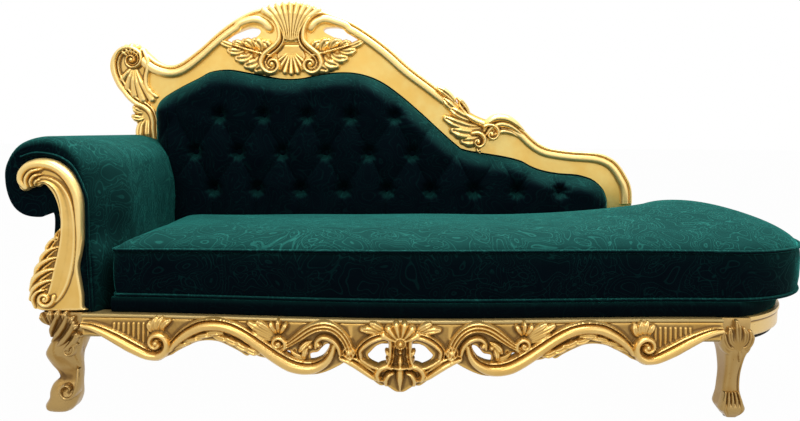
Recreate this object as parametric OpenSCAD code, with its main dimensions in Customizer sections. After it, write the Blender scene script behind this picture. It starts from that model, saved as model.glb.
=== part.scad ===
// Fainting couch: a carved and gilded frame with a rolled arm, a tufted back that
// slopes down from a shell crest, and one loose cushion with a round end.
// X runs along the couch to the round end, Y runs to the back, Z is up, floor at zero.

/* [Overall] */
// Length from the arm roll to the round end of the cushion
length = 2098; // [2060:2:2160]
// Depth from the carved apron to the toes of the back legs
depth = 728; // [712:2:770]
// Height of the shell that tops the crest
height = 1133; // [1110:1:1160]

/* [Seat frame] */
// Height of the top of the seat rails
rail_top = 262; // [256:1:275]
// Height of the seat rails
rail_h = 62; // [52:1:70]
// Thickness of the seat rails
rail_t = 30; // [24:1:36]
// How far the front rail swells forward at its middle
rail_bow = 40; // [30:1:44]
// How far the round end stands past the right legs
end_reach = 192; // [180:1:200]
// Thickness of the back seat rail, which carries the back frame and the webbing
back_rail_t = 60; // [54:1:66]
// Width of the left leg blocks
left_block_w = 102; // [92:1:108]
// Width of the right leg blocks
right_block_w = 75; // [66:1:84]
// Depth of the leg blocks
block_d = 76; // [66:1:84]

/* [Arm] */
// Height of the arm roll above the seat rails
arm_h = 438; // [425:1:450]
// Width from the arm roll to the inside of the arm
arm_w = 254; // [246:1:258]
// Width of the gilded scroll on the front of the arm
facing_w = 156; // [146:1:164]
// Height of the gilded scroll above the seat rails
facing_h = 381; // [370:1:390]
// Thickness of the gilded scroll
facing_t = 20; // [14:1:24]

/* [Back] */
// Length of the back frame
back_span = 1717; // [1700:1:1730]
// Thickness of the back frame
back_t = 36; // [30:1:40]
// Thickness of the tufted pad
pad_t = 85; // [75:1:95]
// Width of the rounded moulding
bead_w = 32; // [26:1:36]
// Relief of the rounded moulding
bead_relief = 17; // [12:1:22]
// Distance between buttons along a row
tuft_step = 139.6; // [130:0.1:150]
// Distance between rows of buttons
tuft_row = 117.5; // [110:0.5:125]

/* [Cushion] */
// Height of the upholstered deck under the cushion
deck_h = 38; // [30:1:44]
// Height of the cushion from the deck to its top piping at the arm
cushion_h = 118; // [105:1:130]
// How much the top piping climbs towards the round end
cushion_rise = 10; // [6:1:16]
// Crown of the cushion above its top piping
cushion_crown = 48; // [36:1:54]
// How much higher the crown stands near the round end
dome_h = 48; // [20:1:55]
// Radius of the piping cord
piping_r = 5; // [3.5:0.5:6]

/* [Hidden] */
$fn = 48;

// Colours
gilt = "goldenrod";
velvet = "teal";
dark_velvet = "darkslategray";
beech = "burlywood";
linen = "dimgray";
steel = "silver";

// Clearances and small sizes
clear = 0.3;          // between pieces that must not touch
over = 1;             // overrun of a cut
fret_t = 8;           // thickness of the pierced plate behind the apron's carving
apron_relief = 10;    // relief of the carving on that plate
leg_toe = 19;         // how far the back toes stand behind the back frame
roll_over = 84;       // overhang of the arm roll past the left legs
end_over = 48;        // overhang of the cushion past the end rail
end_step = 12;        // how far the end rail starts inside the leg block
ear_inset = 28;       // from the arm roll's edge to the ear of the back
apron_shift = 5;      // the apron's middle lies this far left of the rail's middle
apron_drop = 185;     // from the rail's top to the tip of the pendant
lip = 8;              // the deck stands this far inside the rails

// Places along X
left_x = -length / 2;
right_x = length / 2;
block_x = left_x + roll_over;
rail_x = block_x + left_block_w;
end_x = right_x - end_over;
right_block_end = end_x - end_reach;
right_block_x = right_block_end - right_block_w;
front_mid = (rail_x + right_block_x) / 2;
front_half = (right_block_x - rail_x) / 2;
apron_mid = front_mid - apron_shift;

// Places along Y
apron_out = fret_t + 2 * clear;
front_y = -depth / 2 + apron_relief + apron_out + rail_bow;
back_y = depth / 2 - leg_toe;
board_y = back_y - back_t;
pad_y = board_y - pad_t;
mid_y = (front_y + back_y) / 2;

// Places along Z
rail_z = rail_top - rail_h;
deck_z = rail_top + deck_h;
cushion_z = deck_z + clear;

// The round end rail is one arc through both right leg blocks
end_half = (back_y - front_y) / 2 - end_step;
end_r = (end_reach * end_reach + end_half * end_half) / (2 * end_reach);

// How far the front rail swells at x: a cosine bell over its length
function bow(x) =
    let (t = (x - front_mid) / front_half)
    abs(t) >= 1 ? 0 : rail_bow * pow(cos(90 * t), 2);
function front(x) = front_y - bow(x);

// A smooth curve through points: each span leaves and meets its points along the
// line that joins the neighbours
function between(a, b, c, d, t) =
    (2 * b + (c - a) * t + (2 * a - 5 * b + 4 * c - d) * t * t
    + (3 * b - a - 3 * c + d) * t * t * t) / 2;
function curve(p, steps) = [
    for (i = [0 : len(p) - 2])
        for (k = [0 : steps - 1])
            between(p[max(i - 1, 0)], p[i], p[i + 1], p[min(i + 2, len(p) - 1)], k / steps),
    p[len(p) - 1]];

// Shares of a frame turned into places
function placed(shares, x, w, z, h) = [for (s = shares) [x + s[0] * w, z + s[1] * h]];

// Unit direction across a path, to the left of its travel
function across(path, i) =
    let (a = path[max(i - 1, 0)], b = path[min(i + 1, len(path) - 1)])
    let (d = b - a)
    [-d[1], d[0]] / norm(d);

// Faces between rings of n points, and fans that close the two ends
function ring_faces(rings, n) = [
    for (r = [0 : rings - 2])
        for (k = [0 : n - 1])
            let (a = r * n + k, b = r * n + (k + 1) % n)
            each [[a, b, a + n], [b, b + n, a + n]]];
function end_faces(rings, n) = [
    for (k = [1 : n - 2]) each [
        [0, k + 1, k],
        [(rings - 1) * n, (rings - 1) * n + k, (rings - 1) * n + k + 1]]];
function turned(faces) = [for (f = faces) [f[0], f[2], f[1]]];
function loop_faces(rings, n) = [
    for (r = [0 : rings - 1])
        for (k = [0 : n - 1])
            let (s = (r + 1) % rings)
            let (a = r * n + k, b = r * n + (k + 1) % n, c = s * n + k, d = s * n + (k + 1) % n)
            each [[a, b, c], [b, d, c]]];

// A rounded moulding on a front plane: half an ellipse with a flat back.
// It lies to the right of the path's travel, from the path itself inwards.
bead_share = [[0, 0], [0.04, 0.5], [0.2, 0.88], [0.5, 1], [0.8, 0.88], [0.96, 0.5], [1, 0]];
module moulding(path, w, relief, plane) {
    n = len(bead_share);
    points = [for (i = [0 : len(path) - 1])
        let (c = -across(path, i))
        for (s = bead_share)
            [path[i][0] + c[0] * w * s[0], plane - relief * s[1], path[i][1] + c[1] * w * s[0]]];
    polyhedron(points, turned(concat(ring_faces(len(path), n), end_faces(len(path), n))));
}

// A scroll band that follows the swelling front: w is its width at each end of the path
band_share = [[-0.5, 0], [-0.44, 0.6], [-0.22, 0.95], [0.22, 0.95], [0.44, 0.6], [0.5, 0]];
module band(path, w_start, w_mid, w_end, relief) {
    n = len(band_share);
    last = len(path) - 1;
    points = [for (i = [0 : last])
        let (c = -across(path, i))
        let (t = i / last)
        let (w = w_start * pow(1 - t, 2) + 2 * w_mid * t * (1 - t) + w_end * t * t)
        for (s = band_share)
            let (x = path[i][0] + c[0] * w * s[0])
            [x, front(x) - apron_out - relief * s[1], path[i][1] + c[1] * w * s[0]]];
    polyhedron(points, turned(concat(ring_faces(len(path), n), end_faces(len(path), n))));
}

// A flat ribbon whose width falls from w_start to w_end
module ribbon(path, w_start, w_end) {
    last = len(path) - 1;
    polygon([
        for (i = [0 : last]) path[i] + across(path, i) * (w_start + (w_end - w_start) * i / last) / 2,
        for (i = [last : -1 : 0])
            path[i] - across(path, i) * (w_start + (w_end - w_start) * i / last) / 2]);
}

// A flat shape drawn in X and Z, given a thickness towards the front from a plane
module raise(plane, relief) {
    translate([0, plane, 0]) rotate([90, 0, 0]) linear_extrude(relief) children();
}

// A scalloped fan: lobes around a point, between two angles
module fan(centre, radius, from, to, lobes, scallop) {
    steps = 6;
    full = to - from == 360;
    translate(centre) polygon([if (!full) [0, 0],
        for (i = [0 : lobes * steps - (full ? 1 : 0)])
            let (a = from + (to - from) * i / (lobes * steps))
            let (r = radius - scallop * abs(cos(180 * i / steps)))
            [r * cos(a), r * sin(a)]]);
}

// A closed tube of radius r along a loop or an open path of points in space
tube_sides = 6;
function tube_ring(p, a, b, r) =
    let (d = (b - a) / norm(b - a))
    let (side = cross(d, [0, 0, 1]))
    let (s = side / norm(side))
    let (u = cross(s, d))
    [for (k = [0 : tube_sides - 1]) p + r * (cos(360 * k / tube_sides) * s + sin(360 * k / tube_sides) * u)];
module loop_tube(path, r) {
    n = len(path);
    points = [for (i = [0 : n - 1]) each tube_ring(path[i], path[(i + n - 1) % n], path[(i + 1) % n], r)];
    polyhedron(points, loop_faces(n, tube_sides));
}

// Seat frame
module front_rail() {
    steps = 24;
    color(gilt) translate([0, 0, rail_z]) linear_extrude(rail_h) polygon([
        for (i = [0 : steps]) let (x = rail_x + 2 * front_half * i / steps) [x, front(x)],
        for (i = [steps : -1 : 0])
            let (x = rail_x + 2 * front_half * i / steps) [x, front(x) + rail_t]]);
}

module back_rail() {
    color(gilt) translate([rail_x, back_y - back_rail_t, rail_z])
        cube([2 * front_half, back_rail_t, rail_h]);
}

module left_rail() {
    color(gilt) translate([block_x, front_y + block_d, rail_z])
        cube([rail_t, back_y - front_y - 2 * block_d, rail_h]);
}

module end_rail() {
    color(gilt) translate([0, 0, rail_z]) intersection() {
        translate([end_x - end_r, mid_y, 0]) difference() {
            cylinder(r = end_r, h = rail_h, $fn = 96);
            translate([0, 0, -over]) cylinder(r = end_r - rail_t, h = rail_h + 2 * over, $fn = 96);
        }
        translate([right_block_end, front_y, 0]) cube([end_reach, back_y - front_y, rail_h]);
    }
}

cross_count = 3;      // rails from front to back
cross_w = 45;         // width of a cross rail
module cross_rails() {
    color(beech) for (i = [1 : cross_count]) {
        x = rail_x + 2 * front_half * i / (cross_count + 1);
        translate([x - cross_w / 2, front(x - cross_w / 2) + rail_t + rail_bow / 10, rail_z])
            cube([cross_w, back_y - back_rail_t - front(x - cross_w / 2) - rail_t - rail_bow / 10,
                rail_h]);
    }
}

brace = 55;           // length of a corner block's short sides
module corner_block() {
    linear_extrude(rail_h * 0.7) polygon([[0, 0], [brace, 0], [0, brace]]);
}
module corner_blocks() {
    color(beech) translate([0, 0, rail_z]) {
        translate([rail_x, back_y - back_rail_t, 0]) mirror([0, 1, 0]) corner_block();
        translate([right_block_x, back_y - back_rail_t, 0]) rotate([0, 0, 180]) corner_block();
        translate([block_x + rail_t, front_y + block_d, 0]) corner_block();
        translate([block_x + rail_t, back_y - block_d, 0]) mirror([0, 1, 0]) corner_block();
    }
}

// Legs: each row is a height, then the left, right, front and back faces of a section,
// all as shares of the leg's height and its block
leg_sides = 12;
module leg(x, y, w, d, rows_share) {
    rings = len(rows_share);
    points = [for (r = rows_share)
        let (cx = x + w * (r[1] + r[2]) / 2, hx = w * (r[2] - r[1]) / 2)
        let (cy = y + d * (r[3] + r[4]) / 2, hy = d * (r[4] - r[3]) / 2)
        for (k = [0 : leg_sides - 1])
            let (a = -360 * (k + 0.5) / leg_sides)
            [cx + hx * sign(cos(a)) * pow(abs(cos(a)), 0.6),
             cy + hy * sign(sin(a)) * pow(abs(sin(a)), 0.6),
             glide_h + r[0] * (rail_z - glide_h)]];
    polyhedron(points, concat(ring_faces(rings, leg_sides), end_faces(rings, leg_sides)));
    translate([x, y, rail_z]) cube([w, d, rail_h]);
}

front_left_leg_share = [[0, 0.2, 0.5, -0.05, 0.55], [0.03, 0.02, 0.62, -0.2, 0.68],
    [0.09, -0.02, 0.72, -0.26, 0.72], [0.185, 0.07, 0.82, -0.22, 0.7],
    [0.265, 0.07, 0.84, -0.13, 0.66], [0.355, 0.13, 0.86, 0, 0.62],
    [0.435, 0.28, 0.875, 0.1, 0.6], [0.515, 0.245, 0.89, 0.09, 0.64],
    [0.615, 0.13, 0.9, -0.02, 0.72], [0.745, 0.02, 0.92, -0.15, 0.85],
    [0.825, 0.04, 0.95, -0.18, 0.95], [0.93, 0.12, 0.98, -0.12, 1],
    [1, 0.02, 1, -0.06, 1]];
front_right_leg_share = [[0, 0.36, 0.7, 0, 0.6], [0.06, 0.25, 0.86, -0.1, 0.7],
    [0.125, 0.15, 0.93, -0.14, 0.76], [0.19, 0.15, 0.9, -0.1, 0.76],
    [0.28, 0.19, 0.84, -0.02, 0.72], [0.38, 0.21, 0.79, 0.03, 0.7],
    [0.58, 0.25, 0.79, 0.02, 0.74], [0.78, 0.22, 0.86, -0.06, 0.86],
    [0.9, 0.16, 0.97, -0.1, 0.96], [1, 0.04, 1, -0.06, 1]];
toe_share = 1 + leg_toe / block_d;
back_leg_share = [[0, 0.2, 0.72, 0.62, toe_share], [0.05, 0.16, 0.76, 0.58, toe_share],
    [0.3, 0.16, 0.78, 0.42, 1.08], [0.6, 0.12, 0.86, 0.22, 1],
    [0.85, 0.04, 0.96, 0.06, 1], [1, 0, 1, 0, 1]];

module front_left_leg() {
    color(gilt) leg(block_x, front_y, left_block_w, block_d, front_left_leg_share);
}
module front_right_leg() {
    color(gilt) leg(right_block_x, front_y, right_block_w, block_d, front_right_leg_share);
}
module back_left_leg() {
    color(gilt) leg(block_x, back_y - block_d, left_block_w, block_d, back_leg_share);
}
module back_right_leg() {
    color(gilt) leg(right_block_x, back_y - block_d, right_block_w, block_d, back_leg_share);
}

// Carved leaves on the knees, applied to the front of the leg blocks
leaf_relief = 10;
left_leaf_share = [[0.02, 0.02], [0.1, 0.12], [0.22, 0.02], [0.34, 0.13], [0.46, 0.02],
    [0.58, 0.13], [0.7, 0.03], [0.8, 0.14], [0.9, 0.05], [0.98, 0.2], [0.98, 0.6],
    [0.86, 0.86], [0.72, 0.96], [0.4, 0.98], [0.1, 0.98], [0.02, 0.9]];
module left_knee_leaf() {
    color(gilt) raise(front_y, leaf_relief) polygon(placed(left_leaf_share,
        block_x, left_block_w, rail_z, rail_h));
}
right_leaf_share = [[0.5, 0], [0.62, 0.1], [0.72, 0.04], [0.82, 0.16], [0.92, 0.3], [0.9, 0.6],
    [0.7, 0.8], [0.5, 0.98], [0.3, 0.8], [0.1, 0.6], [0.08, 0.3], [0.18, 0.16],
    [0.28, 0.04], [0.38, 0.1]];
module right_knee_leaf() {
    color(gilt) raise(front_y, leaf_relief) polygon(placed(right_leaf_share,
        right_block_x, right_block_w, rail_z, rail_h));
}

glide_r = 11;
glide_h = 4;
module leg_glides() {
    places = [
        [block_x + left_block_w * 0.35, front_y + block_d * 0.25],
        [right_block_x + right_block_w * 0.53, front_y + block_d * 0.3],
        [block_x + left_block_w * 0.46, back_y - block_d * 0.105],
        [right_block_x + right_block_w * 0.46, back_y - block_d * 0.105]];
    color(linen) for (p = places) translate(p) cylinder(r = glide_r, h = glide_h);
}

// Carved apron: scroll bands that follow the swell of the front rail. Places are shares of
// half the apron, from the leg to the middle, and of its drop below the rail's top.
outer_band_share = [[0.02, 0.77], [0.073, 0.735], [0.135, 0.626], [0.195, 0.476],
    [0.234, 0.463], [0.268, 0.55], [0.266, 0.69], [0.236, 0.745], [0.211, 0.68],
    [0.216, 0.585]];
arch_band_share = [[0.29, 0.6], [0.322, 0.72], [0.365, 0.835], [0.411, 0.885],
    [0.463, 0.845], [0.518, 0.75], [0.57, 0.612], [0.618, 0.477], [0.673, 0.35],
    [0.719, 0.32], [0.765, 0.375], [0.798, 0.48]];
loop_band_share = [[0.628, 0.596], [0.677, 0.707], [0.713, 0.81], [0.751, 0.87],
    [0.787, 0.85], [0.816, 0.765], [0.836, 0.64], [0.84, 0.5]];
inner_band_share = [[0.722, 0.45], [0.742, 0.56], [0.748, 0.66], [0.769, 0.71],
    [0.79, 0.66], [0.797, 0.58]];
half_left = apron_mid - rail_x;
half_right = apron_mid - right_block_x;
apron_z = rail_top - apron_drop;
// Lower edge of the plate from the leg to the middle, and its holes
fret_share = [[0, 0.68], [0.04, 0.68], [0.085, 0.63], [0.146, 0.49], [0.193, 0.378],
    [0.209, 0.34], [0.241, 0.34], [0.266, 0.4], [0.284, 0.43], [0.305, 0.49],
    [0.355, 0.6], [0.385, 0.635], [0.414, 0.64], [0.44, 0.62], [0.47, 0.565],
    [0.5, 0.5], [0.522, 0.445], [0.54, 0.475], [0.562, 0.44], [0.594, 0.41],
    [0.624, 0.34], [0.656, 0.27], [0.687, 0.232], [0.719, 0.216], [0.75, 0.232],
    [0.781, 0.281], [0.812, 0.351], [0.835, 0.4], [0.86, 0.335], [0.885, 0.238],
    [0.913, 0.168], [0.938, 0.092], [0.957, 0.086], [0.985, 0.01], [1, 0]];
eye_hole_share = [[0.637, 0.555], [0.655, 0.56], [0.676, 0.575], [0.67, 0.515],
    [0.655, 0.495], [0.64, 0.52]];
loop_hole_share = [[0.7225, 0.527], [0.745, 0.555], [0.757, 0.61], [0.77, 0.66],
    [0.783, 0.66], [0.786, 0.583], [0.78, 0.513], [0.764, 0.457], [0.745, 0.444],
    [0.726, 0.43]];
oval_hole_share = [[0.9, 0.527], [0.91, 0.58], [0.926, 0.65], [0.945, 0.685],
    [0.962, 0.69], [0.963, 0.6], [0.957, 0.46], [0.942, 0.405], [0.926, 0.425],
    [0.907, 0.47]];
fret_top_share = 0.946;
module apron_fret(x, half) {
    steps = 24;
    z = rail_top - apron_drop;
    color(gilt) intersection() {
        raise(front_y + over, rail_bow + fret_t + 2 * over) difference() {
            polygon(placed(concat(fret_share, [[1, fret_top_share], [0, fret_top_share]]),
                x, half, z, apron_drop));
            for (hole = [eye_hole_share, loop_hole_share, oval_hole_share])
                polygon(placed(hole, x, half, z, apron_drop));
        }
        translate([0, 0, z - over]) linear_extrude(apron_drop + 2 * over) polygon([
            for (i = [0 : steps]) let (q = x + half * i / steps) [q, front(q) - clear],
            for (i = [steps : -1 : 0]) let (q = x + half * i / steps) [q, front(q) - clear - fret_t]]);
    }
}
module apron_left_fret() {
    apron_fret(rail_x, half_left);
}
module apron_right_fret() {
    apron_fret(right_block_x, half_right);
}
band_w = 26;          // width of a scroll band at its widest
band_end_w = 12;      // width of a scroll band in its eye
steps_band = 2;       // rings in each span of a band
function apron_path(shares, half) =
    let (p = curve(placed(shares, 0, half, apron_z, apron_drop), steps_band))
    let (x = half > 0 ? rail_x : right_block_x)
    [for (q = (half > 0 ? p : [for (i = [len(p) - 1 : -1 : 0]) p[i]])) [x + q[0], q[1]]];
module apron_scrolls(half) {
    color(gilt) {
        band(apron_path(outer_band_share, half),
            half > 0 ? band_w : band_end_w, band_w, half > 0 ? band_end_w : band_w, apron_relief);
        band(apron_path(arch_band_share, half), band_w * 0.7, band_w, band_w * 0.7, apron_relief);
        band(apron_path(loop_band_share, half), band_end_w, band_w, band_end_w, apron_relief);
        band(apron_path(inner_band_share, half),
            band_end_w, band_w * 0.7, band_end_w, apron_relief);
    }
}
module apron_left_scrolls() {
    apron_scrolls(half_left);
}
module apron_right_scrolls() {
    apron_scrolls(half_right);
}

// Fluted panels between the legs and the outer scrolls
flute_count = 7;
flute_w = 9;
flute_relief = 6;
flute_from_share = 0.1;
flute_pitch_share = 0.0155;
module apron_flutes(x, half) {
    color(gilt) for (i = [0 : flute_count - 1]) {
        s = flute_from_share + i * flute_pitch_share;
        fall = 0.12 + 0.36 * i / (flute_count - 1);
        h = fall * apron_drop * 0.42;
        cx = x + half * s;
        raise(min(front(cx - flute_w), front(cx + flute_w)) - apron_out, flute_relief)
            translate([cx - flute_w / 2, rail_top - rail_h * 0.2 - h]) square([flute_w * 0.9, h]);
    }
}
module apron_left_flutes() {
    apron_flutes(rail_x, half_left);
}
module apron_right_flutes() {
    apron_flutes(right_block_x, half_right);
}

// A flower and its husk leaf in the hollow between the arch and the loop
flower_r = 15;
module apron_flower(x, half) {
    cx = x + half * 0.623;
    color(gilt) raise(min(front(cx - flower_r), front(cx + flower_r)) - apron_out, apron_relief)
        fan([cx, apron_z + apron_drop * 0.79], flower_r, 0, 360, 6, flower_r * 0.2);
}
module apron_left_flower() {
    apron_flower(rail_x, half_left);
}
module apron_right_flower() {
    apron_flower(right_block_x, half_right);
}

// Middle of the apron: a palmette over a boss, two oval rings and a pendant of leaves
palmette_r = 46;
boss_r = 15;
ring_w = 34;
ring_h = 52;
ring_t = 8;
pendant_share = [[-0.5, 0.3], [-0.42, 0.12], [-0.25, 0.04], [-0.1, 0.1], [0, 0],
    [0.1, 0.1], [0.25, 0.04], [0.42, 0.12], [0.5, 0.3], [0.28, 0.28], [0.12, 0.36],
    [0.14, 0.62], [-0.14, 0.62], [-0.12, 0.36], [-0.28, 0.28]];
pendant_w = 92;
palmette_spread = 70;  // half angle of the fan over the cartouche
module apron_cartouche() {
    boss_z = apron_z + apron_drop * 0.66;
    color(gilt) raise(front(apron_mid) - apron_out, apron_relief) {
        fan([apron_mid, boss_z], palmette_r, 90 - palmette_spread, 90 + palmette_spread, 5,
            palmette_r * 0.12);
        translate([apron_mid, boss_z]) circle(r = boss_r);
        for (side = [-1, 1])
            difference() {
                polygon([for (a = [0 : 15 : 345]) [apron_mid + side * (ring_w * 0.9)
                    + ring_w / 2 * cos(a), boss_z - ring_h * 0.45 + ring_h / 2 * sin(a)]]);
                polygon([for (a = [0 : 15 : 345]) [apron_mid + side * (ring_w * 0.9)
                    + (ring_w / 2 - ring_t) * cos(a),
                    boss_z - ring_h * 0.45 + (ring_h / 2 - ring_t) * sin(a)]]);
            }
        polygon(placed(pendant_share, apron_mid, pendant_w, apron_z, apron_drop));
    }
}

// Rolled arm. Its section is given at the front and at the back, as shares of the arm's
// width and height; between them the inside fills out quickly.
arm_front_share = [[0.843, 0], [0.85, 0.292], [0.799, 0.429], [0.791, 0.589],
    [0.772, 0.703], [0.736, 0.852], [0.626, 0.954], [0.409, 1], [0.154, 0.961],
    [0.024, 0.863], [0, 0.76], [0.055, 0.646], [0.173, 0.584], [0.35, 0.571],
    [0.47, 0.6], [0.476, 0.49], [0.409, 0.3], [0.343, 0.11], [0.331, 0]];
arm_back_share = [[0.98, 0], [0.99, 0.292], [0.985, 0.429], [0.99, 0.589],
    [0.97, 0.74], [0.9, 0.88], [0.7, 0.965], [0.43, 1], [0.154, 0.961],
    [0.024, 0.863], [0, 0.76], [0.055, 0.646], [0.173, 0.584], [0.35, 0.571],
    [0.47, 0.6], [0.476, 0.49], [0.409, 0.3], [0.343, 0.11], [0.331, 0]];
arm_x = left_x;
arm_inside = arm_x + arm_w;
arm_front = front_y + facing_t * 0.3;
arm_stations_share = [0, 0.02, 0.06, 0.14, 0.3, 0.55, 0.8, 1];
arm_crown_share = [0.04, 0.015, 0, 0, 0, 0, 0, 0];
slab_t = 35;
slab_share = 0.57;
function arm_section(i) =
    let (t = arm_stations_share[i], fill = pow(sin(90 * min(1, t / 0.3)), 0.8))
    let (s = arm_crown_share[i])
    let (p = [for (k = [0 : len(arm_front_share) - 1])
        arm_front_share[k] * (1 - fill) + arm_back_share[k] * fill])
    let (q = curve([for (v = p) [v[0] + (0.5 - v[0]) * s, v[1] * (1 - s)]], 2))
    [for (v = q) [arm_x + arm_w * v[0], arm_front + (board_y - arm_front) * t,
        rail_top + arm_h * v[1]]];
module arm_pad() {
    rings = len(arm_stations_share);
    n = len(arm_section(0));
    points = [for (i = [0 : rings - 1]) each arm_section(i)];
    last = (rings - 1) * n;
    half = floor(n / 2);
    ends = [for (k = [0 : half - 1]) each [
        [k, k + 1, n - 1 - k], [k + 1, n - 2 - k, n - 1 - k],
        [last + k, last + n - 1 - k, last + k + 1],
        [last + k + 1, last + n - 1 - k, last + n - 2 - k]]];
    strip = [for (f = ends) if (f[0] != f[1] && f[1] != f[2] && f[0] != f[2]) f];
    color(velvet) difference() {
        polyhedron(points, concat(ring_faces(rings, n), strip));
        arm_core(clear);
    }
}
module arm_core(room) {
    x = arm_x + arm_w * slab_share;
    translate([x - room, front_y + block_d / 2 - room, rail_top - over])
        cube([slab_t + 2 * room, board_y - front_y - block_d + 2 * room,
            arm_h * 0.77 + room + over]);
    translate([x - arm_roller_r, front_y + block_d / 2 - room, rail_top + arm_h * 0.77])
        rotate([-90, 0, 0])
            cylinder(r = arm_roller_r + room, h = board_y - front_y - block_d + 2 * room);
}
arm_roller_r = 38;
module arm_panel() {
    x = arm_x + arm_w * slab_share;
    color(beech) translate([x, front_y + block_d / 2, rail_top])
        cube([slab_t, board_y - front_y - block_d, arm_h * 0.77]);
}
module arm_roller() {
    x = arm_x + arm_w * slab_share;
    color(beech) difference() {
        translate([x - arm_roller_r, front_y + block_d / 2, rail_top + arm_h * 0.77])
            rotate([-90, 0, 0]) cylinder(r = arm_roller_r, h = board_y - front_y - block_d);
        translate([x, 0, rail_top]) cube([slab_t, board_y, arm_h * 0.77]);
    }
}

// Gilded scroll on the front of the arm: outline as shares of its width and height
facing_share = [[0.962, 0.01], [0.925, 0.06], [0.925, 0.12], [0.9, 0.19], [0.9, 0.285],
    [0.935, 0.385], [0.98, 0.48], [1, 0.58], [1, 0.71], [0.98, 0.79], [0.91, 0.86],
    [0.82, 0.92], [0.7, 0.965], [0.577, 0.99], [0.423, 1], [0.282, 0.992], [0.154, 0.971],
    [0.05, 0.93], [0, 0.88], [0.006, 0.83], [0.08, 0.79], [0.16, 0.785], [0.218, 0.861],
    [0.308, 0.824], [0.417, 0.837], [0.494, 0.803], [0.551, 0.753], [0.59, 0.688],
    [0.615, 0.61], [0.622, 0.546], [0.551, 0.507], [0.532, 0.472], [0.449, 0.42],
    [0.365, 0.373], [0.295, 0.32], [0.192, 0.255], [0.135, 0.2], [0.083, 0.134],
    [0.122, 0.081], [0.212, 0.042], [0.308, 0.01]];
facing_x = block_x - (facing_w - left_block_w) + block_d * 0.07;
module arm_facing() {
    color(gilt) raise(arm_front - clear, facing_t)
        polygon(placed(facing_share, facing_x, facing_w, rail_top, facing_h));
}
side_leaf_share = [[0.58, 0.5], [0.52, 0.44], [0.45, 0.4], [0.37, 0.35], [0.31, 0.3],
    [0.24, 0.25], [0.34, 0.24], [0.46, 0.28], [0.57, 0.35], [0.63, 0.44]];
eye_r = 12;
module arm_facing_leaf() {
    color(gilt) {
        raise(arm_front - clear - facing_t, leaf_relief / 2) {
            polygon(placed(side_leaf_share, facing_x, facing_w, rail_top, facing_h));
            translate([facing_x + facing_w * 0.32, rail_top + facing_h * 0.09]) circle(r = eye_r);
            translate([facing_x + facing_w * 0.13, rail_top + facing_h * 0.9]) circle(r = eye_r);
        }
    }
}
arm_cord_share = [[0.08, 1.01], [0.27, 1.035], [0.46, 1.035], [0.7, 1.01], [0.9, 0.94],
    [1.06, 0.78], [1.08, 0.67], [1.07, 0.48]];
module arm_piping() {
    path = curve(placed(arm_cord_share, facing_x, facing_w, rail_top, facing_h), 3);
    color(velvet) moulding(path, piping_r * 1.4, piping_r, arm_front - clear);
}

// Back frame: its outline runs from the left ear over the crest and down to the right end.
// Places are shares of the back's length and of its rise above the seat rails.
ear_share = [[0.068, 0.495], [0.073, 0.54], [0.062, 0.584], [0.036, 0.633],
    [0.013, 0.68], [0, 0.75], [0.008, 0.804], [0.029, 0.832], [0.062, 0.819]];
rise_share = [[0.073, 0.803], [0.091, 0.775], [0.114, 0.761],
    [0.136, 0.773], [0.171, 0.822], [0.206, 0.882], [0.236, 0.925], [0.267, 0.958],
    [0.293, 0.974]];
crest_share = [[0.323, 0.985], [0.344, 0.988], [0.369, 0.983], [0.395, 0.971]];
slope_share = [[0.421, 0.952], [0.455, 0.928], [0.493, 0.884], [0.531, 0.829],
    [0.568, 0.765], [0.607, 0.708], [0.636, 0.665]];
dip_share = [[0.669, 0.617], [0.696, 0.585], [0.726, 0.565], [0.757, 0.556]];
end_share = [[0.772, 0.549], [0.79, 0.529], [0.804, 0.503], [0.819, 0.481],
    [0.839, 0.466], [0.878, 0.456], [0.916, 0.452], [0.935, 0.447], [0.951, 0.436],
    [0.965, 0.419], [0.977, 0.393], [0.987, 0.363], [0.995, 0.333], [0.999, 0.299],
    [1, 0.259]];
stile_share = 0.068;  // outside of the left stile
opening_left_share = [[0.087, 0.577], [0.089, 0.606], [0.101, 0.638], [0.132, 0.676],
    [0.17, 0.714], [0.193, 0.737], [0.227, 0.745], [0.265, 0.734], [0.322, 0.715],
    [0.36, 0.715], [0.398, 0.73], [0.436, 0.739]];
opening_right_share = [[0.474, 0.734], [0.512, 0.708], [0.55, 0.658], [0.589, 0.594],
    [0.627, 0.527], [0.659, 0.473], [0.674, 0.456], [0.712, 0.443], [0.751, 0.431],
    [0.782, 0.416], [0.801, 0.397], [0.821, 0.382], [0.852, 0.37], [0.889, 0.365],
    [0.904, 0.359], [0.918, 0.35], [0.93, 0.335], [0.94, 0.316], [0.946, 0.297],
    [0.951, 0.268]];
left_hole_share = [[0.22, 0.855], [0.24, 0.878], [0.266, 0.897], [0.283, 0.89],
    [0.274, 0.872], [0.255, 0.861], [0.236, 0.853]];
right_hole_share = [[0.408, 0.896], [0.432, 0.9], [0.455, 0.885], [0.47, 0.861],
    [0.447, 0.853], [0.428, 0.874]];
bottom_h = 60;        // height of the bottom rail of the back
back_x = left_x + ear_inset;
back_right = back_x + back_span;
back_rise = height - rail_top;
outer_path = curve(placed(concat(ear_share, rise_share, crest_share, slope_share,
    dip_share, end_share), back_x, back_span, rail_top, back_rise), 2);
opening_path = curve(placed(concat(opening_left_share, opening_right_share),
    back_x, back_span, rail_top, back_rise), 2);
open_left = opening_path[0][0];
open_right = opening_path[len(opening_path) - 1][0];
open_z = rail_top + bottom_h;

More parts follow.
